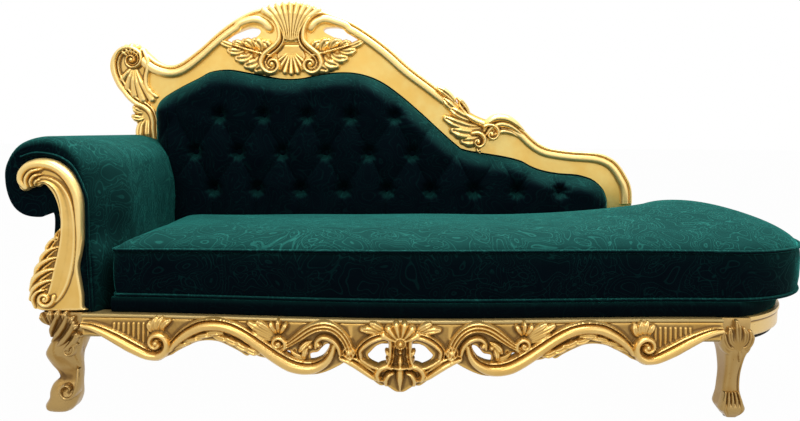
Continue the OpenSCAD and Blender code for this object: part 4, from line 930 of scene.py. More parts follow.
crest_lobes = [
    ([270, 58, 267.5, 72.5], 36, 22, .16), ([267, 56.5, 257, 70], 40, 25, .2),
    ([260, 55, 247, 65.5], 42, 25, .2), ([252, 52.5, 237.5, 58.5], 37, 23, .18),
    ([244, 49, 229, 50.5], 30, 20, .14), ([238, 46.5, 220, 41], 24, 17, .08),
    ([269, 54, 264, 42.5], 34, 24, -.2), ([261, 52.5, 254.5, 41], 36, 24, -.2),
    ([253, 50.5, 244, 41.5], 31, 21, -.18), ([244, 48, 234, 42.5], 23, 18, -.12)]
CREST_FOLD_U = 583.0      # twice the pixel column that the crest is mirrored about


def on_crest_side(way):
    """Places the left half's pixels, mirrored where way is -1."""
    def place(flat):
        p = np.reshape(flat, (-1, 2))
        return on_back(p if way > 0 else [[CREST_FOLD_U, 0]] + p * [-1, 1])
    return place


for way in (1, -1):
    on_side = on_crest_side(way)
    path, eye = on_side(left_scroll), on_side([272.5, 64.5])[0]
    full = np.concatenate([path, spiral(eye, path[-1], way * 0.95, 9, 24)[1:]])
    crest_forms += [band(full, [10, 22, 29, 32, 32, 30, 26, 17], [18, 26, 28, 29, 29, 29, 29, 28],
                         section=lambda u, w=way: reeded(w * u)), boss(eye, 12, 30),
                    band(on_side([271, 55.5, 259, 53, 247, 49.5, 233, 45]), [11, 10, 9, 5],
                         [24, 26, 24, 17])]
    crest_forms += lobes(on_side, crest_lobes, way)
relief("carving_crest", crest_forms, 1.5, BOARD_Y, CARVING_ROOT,
       stands_for=("crest_shell", "crest_lower_shell", "crest_scrolls", "crest_left_leaf",
                   "crest_right_leaf"))

# %% [markdown]
# The shoulder on the left ends in an ear: a wide band follows the outline and winds into
# an eye, a shell of long ribs hangs from the eye, and a stem closes it on the right.

# %% Ear of the back
ear_band = on_back([155, 141, 154, 130, 154, 121, 151, 112, 145, 106, 137, 102, 130, 96, 124, 88,
                     119.5, 80, 116.5, 71, 116, 62, 119, 54, 125, 49.5, 132, 49, 139, 53])
ear_eye = on_back([132, 60])[0]
ear_spiral = spiral(ear_eye, ear_band[-1], -1.15, 8, 36)
ear_forms = [
    plate(on_back([118, 60, 120, 72, 125, 82, 133, 93, 143, 100.5, 154, 99, 148, 86, 147, 70,
                   143, 52, 130, 47]), 8.0, 5.0),
    plate(on_back([141, 104, 150, 111, 153.5, 122, 151.5, 140, 139, 139, 138, 128, 134.5, 119,
                    133.5, 110]), 7.0, 4.0),
    band(np.concatenate([ear_band, ear_spiral[1:]]),
         [24, 26, 27, 29, 30, 30, 28, 26, 22, 18, 14, 10], [12, 14, 16, 20, 22, 24, 24, 24, 24, 25],
         section=lambda u: reeded(-u)),
    boss(ear_eye, 10, 26),
    band(on_back([143, 50, 147.5, 60, 147.5, 69, 146, 78, 146.5, 87, 150.5, 93, 156, 96.5]),
         [14, 18, 19, 18, 19, 26, 14], [14, 18, 19, 18, 18, 17, 9])]
ear_forms += lobes(on_back, (
    ([143, 112, 134, 107.5], 24, 18, .15), ([144, 117, 133, 116.5], 24, 19, .15),
    ([144, 119, 140, 139], 26, 18, -.12), ([147, 118, 147.5, 138], 22, 16, 0)))
for tip, width in (([122, 79.5], 25), ([127, 88], 28), ([134, 95], 30), ([142.5, 99.5], 30),
                   ([151.5, 99.5], 26)):
    root, tip = on_back([134.5, 65])[0], on_back(tip)[0]
    middle = (root + tip) / 2 + [-3.0, -4.0]
    ear_forms.append(band([root, middle, tip], [8, width * 0.8, width], [12, 19, 17]))
for angle in np.radians([45, 68, 91, 114, 137]):
    ray = 46 * np.array([math.cos(angle), math.sin(angle)])
    ear_forms.append(band([ear_eye + ray * 0.4, ear_eye + ray * 0.7, ear_eye + ray],
                          [9, 15, 17], [14, 22, 17]))
relief("carving_ear", ear_forms, 1.5, BOARD_Y, CARVING_ROOT,
       stands_for=("shoulder_volute", "shoulder_shell"))

# %% [markdown]
# Where the slope meets the lower rail, an acanthus hides the joint of the mouldings: a
# husk climbs the bead, two curls hang under it and lobes stream along the rail.

# %% Leaf of the slope
slope_forms = [
    band(on_back([484, 131, 488, 123, 496, 118.5, 506, 119, 515, 123.5, 524, 130.5]),
         [12, 24, 30, 29, 22, 8], [20, 28, 31, 28, 22, 12]),
    band(on_back([486, 135, 491, 128.5, 499, 124.5, 508, 125.5, 516, 130, 523, 135.5]),
         [10, 22, 26, 25, 18, 6], [20, 26, 28, 26, 20, 12]),
    band(on_back([490, 139.5, 496, 134, 503, 131.5, 511, 133, 518, 137]), [10, 20, 22, 18, 6],
         [18, 24, 25, 22, 12]),
    band(on_back([483, 124, 474, 120, 463, 113]), [24, 22, 12], [26, 26, 20]),
    band(on_back([466, 114, 461, 107, 457.5, 97.5]), [14, 10, 4], [20, 18, 10])]
slope_forms += lobes(on_back, (
    ([481, 127, 446, 118.5], 38, 27, .08), ([482, 131, 453.5, 130.5], 46, 26, .1),
    ([483, 135, 463.5, 141], 42, 23, .12), ([474, 120, 451, 109], 34, 29, .06),
    ([464, 112, 444, 99.5], 30, 27, .1), ([456, 104, 438.5, 88.5], 25, 25, -.06),
    ([470, 117, 457.5, 98], 13, 24, -.1), ([477, 145, 479.5, 152.5], 19, 18, 0)))
for eye, start in (([478, 142], [472, 133.5]), ([491.5, 134.5], [484, 126.5])):
    eye, start = on_back(eye)[0], on_back(start)[0]
    slope_forms += [band(spiral(eye, start, -1.2, 6), [16, 19, 13, 9], [28, 32, 30, 28]),
                    boss(eye, 9, 33)]
relief("carving_slope_leaf", slope_forms, 1.4, BOARD_Y, CARVING_ROOT, stands_for=("slope_leaf",))

# %% [markdown]
# The back pad is deep buttoned: buttons pull it in on a lattice of diamonds, pleats run
# from button to button, and above and below the lattice they run straight to the edge.
# Between them the stuffing stands up in soft puffs. All of it is one formula on a grid.

# %% Tufted pad
PAD_T, PAD_RIM, PAD_EDGE = 85.0, 14.0, 58.0
TUFT_STEP, TUFT_ROW, LEAN = 139.6, 117.5, 0.1
TUFT_X, TUFT_Z = BACK_X + BACK_SPAN * .202, RAIL_TOP + BACK_RISE * .308
ARM_X, ARM_W, ARM_H = LEFT_X, 254.0, 438.0
ARM_INSIDE = ARM_X + ARM_W
ROLL_END_X = -813.0      # left of this the pad starts above the arm's roll
# Shares of the pad's thickness that the hollows take, and the radius of a dimple
HOLLOW, PLEAT, OUTER_PLEAT, DIMPLE, DIMPLE_R = 0.17, 0.012, 0.06, 0.42, 19.0
pad_outline = np.concatenate([[[OPEN_LEFT, 60.0]], opening_path, [[OPEN_RIGHT, 60.0]]])


def pad_top(x):
    """The pad's upper edge, 3 mm inside the opening of the frame."""
    return np.interp(x, opening_path[:, 0], opening_path[:, 1]) - 3.0


rows_of, place_of = np.meshgrid(np.arange(3), np.arange(-1, 9), indexing="ij")
button_z = (TUFT_Z + rows_of * TUFT_ROW).ravel()
button_x = (TUFT_X + LEAN * rows_of * TUFT_ROW + TUFT_STEP * (place_of + (rows_of % 2) / 2)).ravel()
fits = ((button_x > ARM_INSIDE + 27) & (button_x < OPEN_RIGHT - 58)
        & (button_z < pad_top(button_x) - 44))
buttons = np.stack([button_x, button_z], axis=1)[fits]
print(len(buttons), "buttons")


def pad_height(x, z):
    """How far the pad stands in front of the board: a crown that rises from its edge, less
    the pleats, where the sine of the lattice's diagonals is near zero, less the dimples."""
    flat = np.stack([x, z], axis=1)
    e = np.maximum(-edge_distance(pad_outline, flat) - 2, 0)
    crown = np.sin(np.pi / 2 * np.clip(e / PAD_EDGE, 0, 1)) ** 0.7
    a = (x - LEAN * (z - TUFT_Z) - TUFT_X) / TUFT_STEP
    b = np.clip((z - TUFT_Z) / (2 * TUFT_ROW), 0, 1)
    one, two = np.abs(np.sin(np.pi * (a + b))), np.abs(np.sin(np.pi * (a - b)))
    puff = (one * two) ** 0.8
    fold = np.exp(-(np.minimum(one, two) / 0.07) ** 2)
    gap = np.sqrt(((flat[:, None] - buttons) ** 2).sum(axis=2))
    near_button = gap.argmin(axis=1)
    r = gap.min(axis=1)
    dimple = np.exp(-(r / DIMPLE_R) ** 2)
    angle = np.arctan2(*(flat - buttons[near_button]).T)
    ripple = np.sin(8 * angle) * np.exp(-((r - 24) / 13) ** 2) * 0.9
    wander = 1.6 * np.sin(x / 47 + 2.3 * np.sin(z / 61)) * np.sin(z / 39 + x / 130)
    pleat = np.where((b <= 0) | (b >= 1), OUTER_PLEAT, PLEAT)
    thick = 1 - HOLLOW * (1 - puff) - pleat * fold - DIMPLE * dimple
    return PAD_RIM + (PAD_T - PAD_RIM) * crown * thick + (ripple + wander) * crown


def tufted_pad():
    """Columns run from the deck, or from the arm's roll, up to the frame's opening."""
    xs = np.concatenate([np.linspace(OPEN_LEFT + 3, ROLL_END_X - 2, 14),
                         np.linspace(ROLL_END_X + 1, OPEN_RIGHT - 3, 560)])
    roll_line = np.interp((xs - ARM_X) / ARM_W, [.43, .7, .9, .97, 1], [1, .97, .885, .8, .74])
    low = np.where(xs < ROLL_END_X, RAIL_TOP + ARM_H * roll_line - 25, DECK_Z + 1)
    t = np.linspace(0, 1, 200)
    z = low[:, None] + (pad_top(xs) - low)[:, None] * t
    x = np.repeat(xs[:, None], len(t), axis=1)
    h = pad_height(x.ravel(), z.ravel()).reshape(x.shape)
    face = np.stack([x, BOARD_Y - h, z], axis=2).reshape(-1, 3)
    n, m = x.shape
    around = np.concatenate([np.arange(m), np.arange(1, n) * m + m - 1,
                             (n - 1) * m + np.arange(m - 2, -1, -1), np.arange(n - 2, 0, -1) * m])
    rear = face[around].copy()
    rear[:, 1] = BOARD_Y + 4
    k = np.arange(len(around))
    wall = np.stack([around, n * m + k, n * m + (k + 1) % len(k), np.roll(around, -1)], axis=1)
    middle = np.array([[x.mean(), BOARD_Y + 4, 520.0]])
    fan = np.stack([n * m + (k + 1) % len(k), n * m + k, np.full(len(k), n * m + len(k))], axis=1)
    return np.concatenate([face, rear, middle]), [grid_faces(n, m)[:, ::-1], wall[:, ::-1], fan]


points, faces = tufted_pad()
back_pad = piece("back_pad_tufted", points, faces, back_velvet_less_top_light, slot="velvet",
                 stands_for=("back_pad",), sharp=75)


def domes(centres, y, radius, height):
    """Shallow domes with a tucked edge, one for each centre, all in one mesh."""
    rows, sides = 8, 22
    t = np.linspace(0, 1, rows)[:, None]
    a = np.linspace(0, 2 * np.pi, sides, endpoint=False)[None, :]
    r = radius * np.sin(t * np.pi * 0.62)
    up = height * (np.cos(t * np.pi * 0.62) + 0.35)
    ring = np.stack([r * np.cos(a), -up + 0 * a, r * np.sin(a)], axis=2).reshape(-1, 3)
    n = rows * sides
    bottom = ring[-sides:].mean(axis=0) + [0, 1.0, 0]
    one = np.concatenate([ring, [bottom]])
    base = np.stack([centres[:, 0], y, centres[:, 1]], axis=1)
    points = (base[:, None] + one[None]).reshape(-1, 3)
    k = np.arange(sides)
    fan = np.stack([n - sides + k, n - sides + (k + 1) % sides, np.full(sides, n)], axis=1)
    shift = (np.arange(len(centres)) * (n + 1))[:, None, None]
    quads = (grid_faces(rows, sides, wrap=True)[None] + shift).reshape(-1, 4)
    return points, [quads, (fan[None] + shift).reshape(-1, 3)]


button_y = BOARD_Y - pad_height(buttons[:, 0], buttons[:, 1])
points, faces = domes(buttons, button_y, 12.0, 6.5)
piece("tuft_buttons", points, faces, back_velvet_less_top_light, slot="velvet", stands_for=("back_buttons",))

# %% [markdown]
# The arm rolls outwards: a panel wrapped in velvet, thick and round at the top. Its
# section is given at the front and at the back, and the inside fills out between them.

# %% Arm
arm_front_points = shares([.843, 0, .85, .292, .799, .429, .791, .589, .772, .703, .736, .852,
                           .626, .954, .409, 1, .154, .961, .024, .863, 0, .76, .055, .646,
                           .173, .584, .35, .571, .47, .6, .476, .49, .409, .3, .343, .11,
                           .331, 0], ARM_X, ARM_W, RAIL_TOP, ARM_H)
arm_back_points = arm_front_points.copy()
arm_back_points[:7] = shares([.98, 0, .99, .292, .985, .429, .99, .589, .97, .74, .9, .88,
                              .7, .965], ARM_X, ARM_W, RAIL_TOP, ARM_H)
ARM_FRONT = FRONT_Y + 6.0
STRIPS = 8               # rows of points across each end of the arm
NOSE, FILL = 0.06, 0.3   # shares of the depth where the front edge rounds and the inside fills


def even(points, count):
    """A smooth path through points with a fixed number of even steps."""
    path = curve(points, np.ptp(np.asarray(points, float), axis=0).max() / 400)
    s = np.linspace(0, len(path) - 1, count)
    return np.stack([np.interp(s, np.arange(len(path)), path[:, k])
                     for k in range(path.shape[1])], axis=1)


def rolled_arm():
    """Sections at stations along the depth; the front edge is rounded by shrinking the
    first ones, and each end is closed by strips across the section."""
    t = np.concatenate([np.linspace(0, NOSE, 9), np.linspace(.075, .4, 30),
                        np.linspace(.42, 1, 34)])
    fill = np.sin(np.pi / 2 * np.minimum(1, t / FILL)) ** 0.8
    shrink = 0.045 * (1 - rounded(np.clip(1 - t / NOSE, 0, 1)))
    front_ring, back_ring = even(arm_front_points, 200), even(arm_back_points, 200)
    section = front_ring[None] * (1 - fill)[:, None, None] + back_ring[None] * fill[:, None, None]
    middle = np.array([ARM_X + ARM_W * 0.5, RAIL_TOP])
    section = section + (middle - section) * shrink[:, None, None]
    y = ARM_FRONT + (BOARD_Y - ARM_FRONT) * t
    x, z = section[..., 0], section[..., 1]
    soft = 1.4 * np.sin(y[:, None] / 55 + x / 70) * np.sin(z / 48) * np.minimum(1, t / .1)[:, None]
    x = x + soft * (z > RAIL_TOP + 40)
    points = np.stack([x, np.repeat(y[:, None], x.shape[1], axis=1), z], axis=2)
    n, m = x.shape
    half = m // 2
    across = np.linspace(0, 1, STRIPS + 2)[1:-1]
    caps, cap_faces = [], []
    base = n * m
    for row, flip in ((0, False), (n - 1, True)):
        one, two = points[row, :half], points[row, ::-1][:half]
        inner = one[:, None] + (two - one)[:, None] * across[None, :, None]
        index = base + sum(len(c) for c in caps) + np.arange(half * STRIPS).reshape(half, STRIPS)
        full = np.concatenate([(row * m + np.arange(half))[:, None], index,
                               (row * m + m - 1 - np.arange(half))[:, None]], axis=1)
        quads = np.stack([full[:-1, :-1], full[:-1, 1:], full[1:, 1:], full[1:, :-1]], axis=2)
        quads = quads.reshape(-1, 4)
        cap_faces.append(quads if not flip else quads[:, ::-1])
        caps.append(inner.reshape(-1, 3))
    body = grid_faces(n, m, wrap=True)
    return np.concatenate([points.reshape(-1, 3)] + caps), [body, np.concatenate(cap_faces)]


points, faces = rolled_arm()
arm = piece("arm_pad_rolled", points, faces, velvet, slot="velvet", stands_for=("arm_pad",),
            sharp=80)


def tube(path, radius, sides=12, closed=False):
    """A round cord along a path in space: each ring lies across the path, turned from a
    fixed upward direction, or from the depth where the path runs upwards."""
    path = np.asarray(path, float)
    t = (np.roll(path, -1, 0) - np.roll(path, 1, 0)) if closed else np.gradient(path, axis=0)
    t /= np.linalg.norm(t, axis=1, keepdims=True)
    spread = np.ptp(path, axis=0)
    side = np.cross(t, [0.0, 1.0, 0.0] if spread[1] < spread[2] else [0.0, 0.0, 1.0])
    side /= np.linalg.norm(side, axis=1, keepdims=True)
    up = np.cross(side, t)
    a = np.linspace(0, 2 * np.pi, sides, endpoint=False)[None, :, None]
    ring = path[:, None] + radius * (np.cos(a) * side[:, None] + np.sin(a) * up[:, None])
    n = len(path)
    faces = grid_faces(n, sides, wrap=True)
    if closed:
        k = np.arange(sides)
        last = (n - 1) * sides
        seam = np.stack([last + k, last + (k + 1) % sides, (k + 1) % sides, k], axis=1)
        return ring.reshape(-1, 3), [np.concatenate([faces, seam])]
    return ring.reshape(-1, 3), [faces, end_caps(n, sides)]


FACING_X, FACING_W, FACING_H = -1013.7, 156.0, 381.0
ARM_CORD_R, SHADOW_WELT_R, PIPING_R = 4.5, 2.6, 5.0
cord_line = even(shares([.08, 1.01, .27, 1.035, .46, 1.035, .7, 1.01, .9, .94, 1.06, .78,
                         1.08, .67, 1.07, .48, 1.08, .3, 1.09, .1, 1.09, .01],
                        FACING_X, FACING_W, RAIL_TOP, FACING_H), 130)
cord_path = np.insert(cord_line, 1, ARM_FRONT - 1.5, axis=1)
points, faces = tube(cord_path, ARM_CORD_R)
piece("arm_piping_cord", points, faces, velvet, slot="velvet", stands_for=("arm_piping",))
# A dark cord round the pad: painted shadow line where the pad meets the frame
points, faces = tube(np.insert(opening_path, 1, BOARD_Y - 3.0, axis=1), SHADOW_WELT_R)
piece("back_pad_shadow_welt", points, faces, dark_velvet, slot="plain_velvet")

# %% [markdown]
# The gilded scroll on the front of the arm hooks over at the top and runs down as a slim
# outer ribbon and a broad hollow band. It ends in a small curl, and a leaf of seven long
# folds climbs its left edge.

# %% Arm facing
facing_edge = on_arm([
    40, 159.5, 50, 160.5, 60, 165.5, 70, 176, 78, 190, 80.5, 204, 82, 235, 80, 252, 77, 268,
    79, 283, 81, 296, 81.5, 308, 83.5, 311.5, 41, 312, 33, 306, 28.5, 298, 30, 286, 36, 273,
    42, 260, 49, 249, 54, 240, 58, 228, 57, 214, 54, 202, 49, 192, 42, 185, 36, 187.5, 30, 185,
    26, 190.5, 21, 191.5, 16.5, 187, 15.3, 178, 18, 170, 24, 164, 32, 160.5])
outer_ribbon = on_arm([24, 187, 19.5, 181, 20.5, 173.5, 27, 167, 38, 164, 50, 165.5, 60, 171,
                          68, 180, 74, 192, 76.5, 205, 77.3, 222, 77.3, 240, 75.5, 256, 74, 268,
                          73.5, 280])
middle_band = on_arm([34, 182.5, 42, 179.5, 51, 182, 59, 189, 64.5, 201, 67, 216, 67.5, 232,
                         66.3, 248, 64, 262, 61, 275, 57.5, 287, 52.5, 297, 46, 303])
facing_forms = [
    plate(curve(facing_edge, 4.0, closed=True), 12.0, 5.0),
    band(outer_ribbon, [20, 27, 28, 27, 24, 20, 13, 6], [20, 25, 26, 25, 22, 19, 15, 12]),
    band(middle_band, [12, 18, 26, 32, 36, 40, 43, 47, 50, 48, 40, 26],
         [20, 24, 25, 24, 23, 23, 22, 22, 22, 22, 22, 20], section=dished),
    band(spiral(on_arm([44.5, 299])[0], on_arm([53, 297])[0], -1.5, 5),
         [14, 17, 16, 12, 8], [22, 25, 25, 25, 23]),
    boss(on_arm([44.5, 299])[0], 9, 26)]
for line, width in (([58.5, 230, 56.5, 235, 54.5, 242], 11),
                    ([57.5, 238, 52.5, 241, 48, 247, 46, 255], 17),
                    ([56.5, 248, 50.5, 250.5, 43.5, 257, 40, 267], 21),
                    ([55, 258.5, 48, 261, 39, 268, 34.5, 279.5], 24),
                    ([54, 270, 46, 272, 36, 279, 30.5, 290.5], 26),
                    ([52, 281, 44.5, 283, 36, 288.5, 30, 299.5], 24),
                    ([45, 290.5, 38, 293, 34, 299, 34.5, 307.5], 19)):
    facing_forms.append(band(on_arm(line), [width * 0.5, width, width * 1.1, width * 0.75],
                             [19, 25, 24, 16], section=reeded))
for line, width in (([42, 168.5, 31, 171.5, 25.5, 179, 25.5, 188.5], 13),
                    ([41, 174, 34, 176, 30, 182, 30.5, 187], 11),
                    ([39, 179.5, 36, 181.5, 34.5, 186], 9)):
    facing_forms.append(band(on_arm(line), [6, width, width, width * 0.7], [18, 25, 25, 18]))
relief("carving_arm_facing", facing_forms, 1.4, FACE_Y, 0.0,
       stands_for=("arm_facing", "arm_facing_leaf"))

# %% [markdown]
# Loose cushion: a thick boxed cushion with piping round its top and bottom seams. Its
# front follows the rail, its right end is round, and it crowns between the seams.

# %% Cushion outline
CUSHION_LEFT, CUSHION_Z = ARM_INSIDE + CLEAR, DECK_Z + CLEAR
CUSHION_BACK, CUSHION_DEEP = PAD_Y - CLEAR, BOARD_Y - 17.3
RAIL_SETBACK, FRAME_INSET = 6.0, 8.0
FRONT_CUSHION = FRONT_Y + RAIL_SETBACK
CUSHION_SIDE, SEAM_CLIMB, CROWN, HUMP = 118.0, 10.0, 48.0, 48.0
# The hump's place and its spread to the left and right, as shares of the cushion's length
HUMP_AT, HUMP_LEFT, HUMP_RIGHT = 0.854, 0.163, 0.125
END_ROUND = (CUSHION_DEEP - FRONT_CUSHION) / 2
ROUND_CENTRE = np.array([RIGHT_X - END_ROUND, (CUSHION_DEEP + FRONT_CUSHION) / 2])
CORNER = 22.0
STEP_X = OPEN_RIGHT


def arc(centre, radius, start, end, count):
    """Points on a circle between two angles in degrees."""
    a = np.radians(np.linspace(start, end, count))
    return np.asarray(centre, float) + radius * np.stack([np.cos(a), np.sin(a)], axis=1)


def cushion_outline():
    """The envelope that the CAD solid uses: front line, round end, a step in front of the
    pad, the long back edge, the edge along the arm and its two small corners."""
    x = np.linspace(CUSHION_LEFT + CORNER, ROUND_CENTRE[0], 120)[:-1]
    lead = np.stack([x, front(x) + RAIL_SETBACK], axis=1)
    t = np.linspace(0, 1, 12)
    step_line = np.stack([STEP_X + 36 * (1 - t), CUSHION_DEEP + (CUSHION_BACK - CUSHION_DEEP)
                          * (1 - np.cos(np.pi * t)) / 2], axis=1)
    t = np.linspace(0, 1, 80)[1:-1]
    long_edge = np.stack([STEP_X + (CUSHION_LEFT + CORNER - STEP_X) * t,
                          CUSHION_BACK - 4 * np.sin(np.pi * t)], axis=1)
    y_front = front(CUSHION_LEFT) + RAIL_SETBACK
    t = np.linspace(0, 1, 20)[1:-1]
    arm_edge = np.stack([CUSHION_LEFT + 4 * np.sin(np.pi * t), CUSHION_BACK - CORNER
                         + (y_front + 2 * CORNER - CUSHION_BACK) * t], axis=1)
    return np.concatenate([
        lead, arc(ROUND_CENTRE, END_ROUND, -90, 90, 60), step_line, long_edge,
        arc([CUSHION_LEFT + CORNER, CUSHION_BACK - CORNER], CORNER, 90, 180, 7), arm_edge,
        arc([CUSHION_LEFT + CORNER, y_front + CORNER], CORNER, 180, 262, 6)])


def inset(path, d):
    """A closed path moved inwards by d along its normals."""
    t = np.roll(path, -1, axis=0) - np.roll(path, 1, axis=0)
    t /= np.linalg.norm(t, axis=1, keepdims=True)
    return path + d * np.stack([-t[:, 1], t[:, 0]], axis=1)


envelope = curve(cushion_outline(), 6.0, closed=True)


def seam_z(x):
    """The top seam climbs in a slow wave towards the round end and falls again at its tip."""
    t = (x - CUSHION_LEFT) / (RIGHT_X - CUSHION_LEFT)
    return CUSHION_Z + CUSHION_SIDE + SEAM_CLIMB * np.sin(np.radians(150 * t))


def crown_rise(x, y):
    """Crown above the seam: 48 mm, and near the round end a hump of 48 mm more that climbs
    from the front to the back as a squared sine."""
    t = (x - CUSHION_LEFT) / (RIGHT_X - CUSHION_LEFT) - HUMP_AT
    back = np.clip((y - FRONT_CUSHION) / (0.8 * (CUSHION_BACK - FRONT_CUSHION)), 0, 1)
    hump = np.exp(-(t / np.where(t < 0, HUMP_LEFT, HUMP_RIGHT)) ** 2)
    return CROWN + HUMP * hump * np.sin(np.pi / 2 * back) ** 2


# %% [markdown]
# Boxed upholstery is one tool: a field of quads for the top, its rim lowered in rows to
# make the sides, and the same quads again for the underside.

# %% Boxed upholstery
def boxed(name, outline, pitch, top, rows, bottom, material, **labels):
    """Top heights over an outline, then rows of (share of the way down, outward bulge in
    millimetres) from the seam, whose height is top at the rim, down to the bottom height."""
    low, high = outline.min(axis=0) - pitch, outline.max(axis=0) + pitch
    flat, quads, rim, out = field_cells(lambda p: edge_distance(outline, p), low, high, pitch)
    d = np.minimum(edge_distance(outline, flat), 0)
    z = top(flat, -d)
    upper = np.concatenate([flat, z[:, None]], axis=1)
    order = rim[:, 0]
    place = np.full(len(flat), -1)
    place[order] = np.arange(len(order))
    points, faces = [upper], [quads]
    previous = order
    count = len(upper)
    for share, bulge in rows:
        ring = upper[order].copy()
        ring[:, :2] += out[order] * bulge
        ring[:, 2] += (bottom - ring[:, 2]) * share
        new = count + np.arange(len(order))
        a, b = np.arange(len(order)), place[rim[:, 1]]
        faces.append(np.stack([previous[b], previous[a], new[a], new[b]], axis=1))
        points.append(ring)
        previous, count = new, count + len(ring)
    inner = place < 0
    where = np.where(inner, count + np.arange(len(flat)), 0)
    where[~inner] = previous[place[~inner]]
    points.append(np.insert(flat, 2, bottom, axis=1))
    faces.append(where[quads[:, ::-1]])
    points, faces = np.concatenate(points), np.concatenate(faces)
    used = np.unique(faces)
    renumber = np.zeros(len(points), np.int64)
    renumber[used] = np.arange(len(used))
    return piece(name, points[used], renumber[faces], material, **labels)


def cushion_top(flat, e):
    """Seam height plus a crown: two exponentials of the distance from the edge, a short one
    for the roll over the piping and a long one for the slow rise, and shallow dents."""
    t = e / 290.0
    crown = 1 - 0.12 * np.exp(-t / 0.03) - 0.88 * np.exp(-t / 0.2)
    x, y = flat.T
    dents = np.sin(x / 83 + 1.7 * np.sin(y / 97)) * np.sin(y / 71 + x / 210)
    return seam_z(x) + crown_rise(x, y) * crown + 1.5 * dents * np.clip(t * 6, 0, 1)


side_rows = [(0.06, 2.2), (0.16, 4.6), (0.3, 6.4), (0.5, 7.0), (0.7, 6.4), (0.85, 4.4),
             (0.95, 2.0), (1.0, -1.5)]
cushion = boxed("seat_cushion_boxed", inset(envelope, 8.0), 6.5, cushion_top, side_rows,
                CUSHION_Z, velvet, body="cushion", slot="velvet", stands_for=("seat_cushion",),
                sharp=60)
cord_points, cord_faces = [], []
line = inset(envelope, PIPING_R)
for height in (seam_z(line[:, 0]), np.full(len(line), CUSHION_Z + PIPING_R)):
    points, faces = tube(np.column_stack([line, height]), PIPING_R, 10, closed=True)
    cord_faces.append(faces[0] + sum(len(p) for p in cord_points))
    cord_points.append(points)
piece("cushion_piping_cord", np.concatenate(cord_points), np.concatenate(cord_faces), velvet,
      body="cushion", slot="velvet", stands_for=("cushion_piping",))

# %% [markdown]
# Under the loose cushion the deck shows as a dark band: cloth-covered padding that is
# set back a little from the rails, made in the darker velvet copy as painted shade.

# %% Deck
def frame_end(r, count):
    """The round end of the seat frame: an arc of radius r that stops a little short of the
    frame's front and back edges."""
    spread = math.degrees(math.asin((END_HALF - FRAME_INSET) / r))
    return arc([END_CENTRE_X, MID_Y], r, -spread, spread, count)


def deck_outline():
    """Front rail, round end and back, each a little inside the frame; the back steps round
    the upholstered part of the couch's back."""
    x = np.linspace(ARM_INSIDE, RIGHT_BLOCK_END, 60)[:-1]
    step_x, rear_y = BACK_X + BACK_SPAN + CLEAR, BACK_Y - FRAME_INSET
    return np.concatenate([
        np.stack([x, front(x) + FRAME_INSET], axis=1), frame_end(END_R - FRAME_INSET, 60),
        [[RIGHT_BLOCK_END, rear_y], [step_x, rear_y], [step_x, BOARD_Y - CLEAR],
         [ARM_INSIDE, BOARD_Y - CLEAR]]])


def deck_top(flat, e):
    """The deck is level."""
    return np.full(len(flat), DECK_Z - 0.2)


deck = boxed("deck_padding", deck_outline(), 9.0, deck_top,
             [(0.08, 1.5), (0.3, 3.0), (0.6, 3.4), (0.9, 2.0), (1.0, 0.0)], RAIL_TOP + 1.0,
             dark_velvet, slot="plain_velvet", stands_for=("seat_deck",), sharp=60)

# %% [markdown]
# Seat rails. The front rail and the round end rail carry a nosing at the top, which shows
# as the gold line under the velvet; below it the front one hides behind the apron. On the
# round end the nosing is a quarter as deep and the lower edge stands 12 mm higher.

# %% Rails
rail_section = np.array([
    [-RAIL_T, 0], [-RAIL_T / 2, 0], [-2, 0], [0, 2], [0, 22], [0, 44], [1, 49], [5, 51.5],
    [9.5, 52.5], [12, 54], [12.6, 56.5], [12, 59.5], [9.5, 61.6], [4, 62], [-RAIL_T / 2, 62],
    [-RAIL_T, 62]], float)


def rail_along(path, outward, section):
    """A section of (outward, up) pairs carried along a level path."""
    n, m = len(path), len(section)
    flat = path[:, None] + outward[:, None] * section[None, :, :1]
    z = np.broadcast_to(RAIL_Z + section[None, :, 1:], (n, m, 1))
    points = np.concatenate([flat, z], axis=2).reshape(-1, 3)
    return points, [grid_faces(n, m, wrap=True), end_caps(n, m)]


x = np.linspace(RAIL_X, RIGHT_BLOCK_X, 120)
points, faces = rail_along(np.stack([x, front(x)], axis=1), np.tile([0.0, -1.0], (len(x), 1)),
                           rail_section)
piece("rail_front", points, faces, gilt_rail_shaded, stands_for=("front_rail",), carved=True, sharp=60)
angle = math.degrees(math.acos((RIGHT_BLOCK_END - END_CENTRE_X) / END_R))
line = arc([END_CENTRE_X, MID_Y], END_R, -angle, angle, 90)
end_section = rail_section.copy()
end_section[:, 0] *= np.where(end_section[:, 0] > 0, 0.25, 1.0)
end_section[:, 1] = np.maximum(end_section[:, 1], np.minimum(end_section[:, 1] + 12, 14))
points, faces = rail_along(line, (line - [END_CENTRE_X, MID_Y]) / END_R, end_section)
piece("rail_round_end", points, faces, gilt_apron_shaded, stands_for=("end_rail",), carved=True, sharp=60)

# %% [markdown]
# The apron is the richest carving: on each side a band runs from the leg into a volute,
# a second one arches over to the middle, a loop crosses it, and a cartouche hangs in the
# centre. The left half is drawn once and mirrored; the mirror is a factor on x.

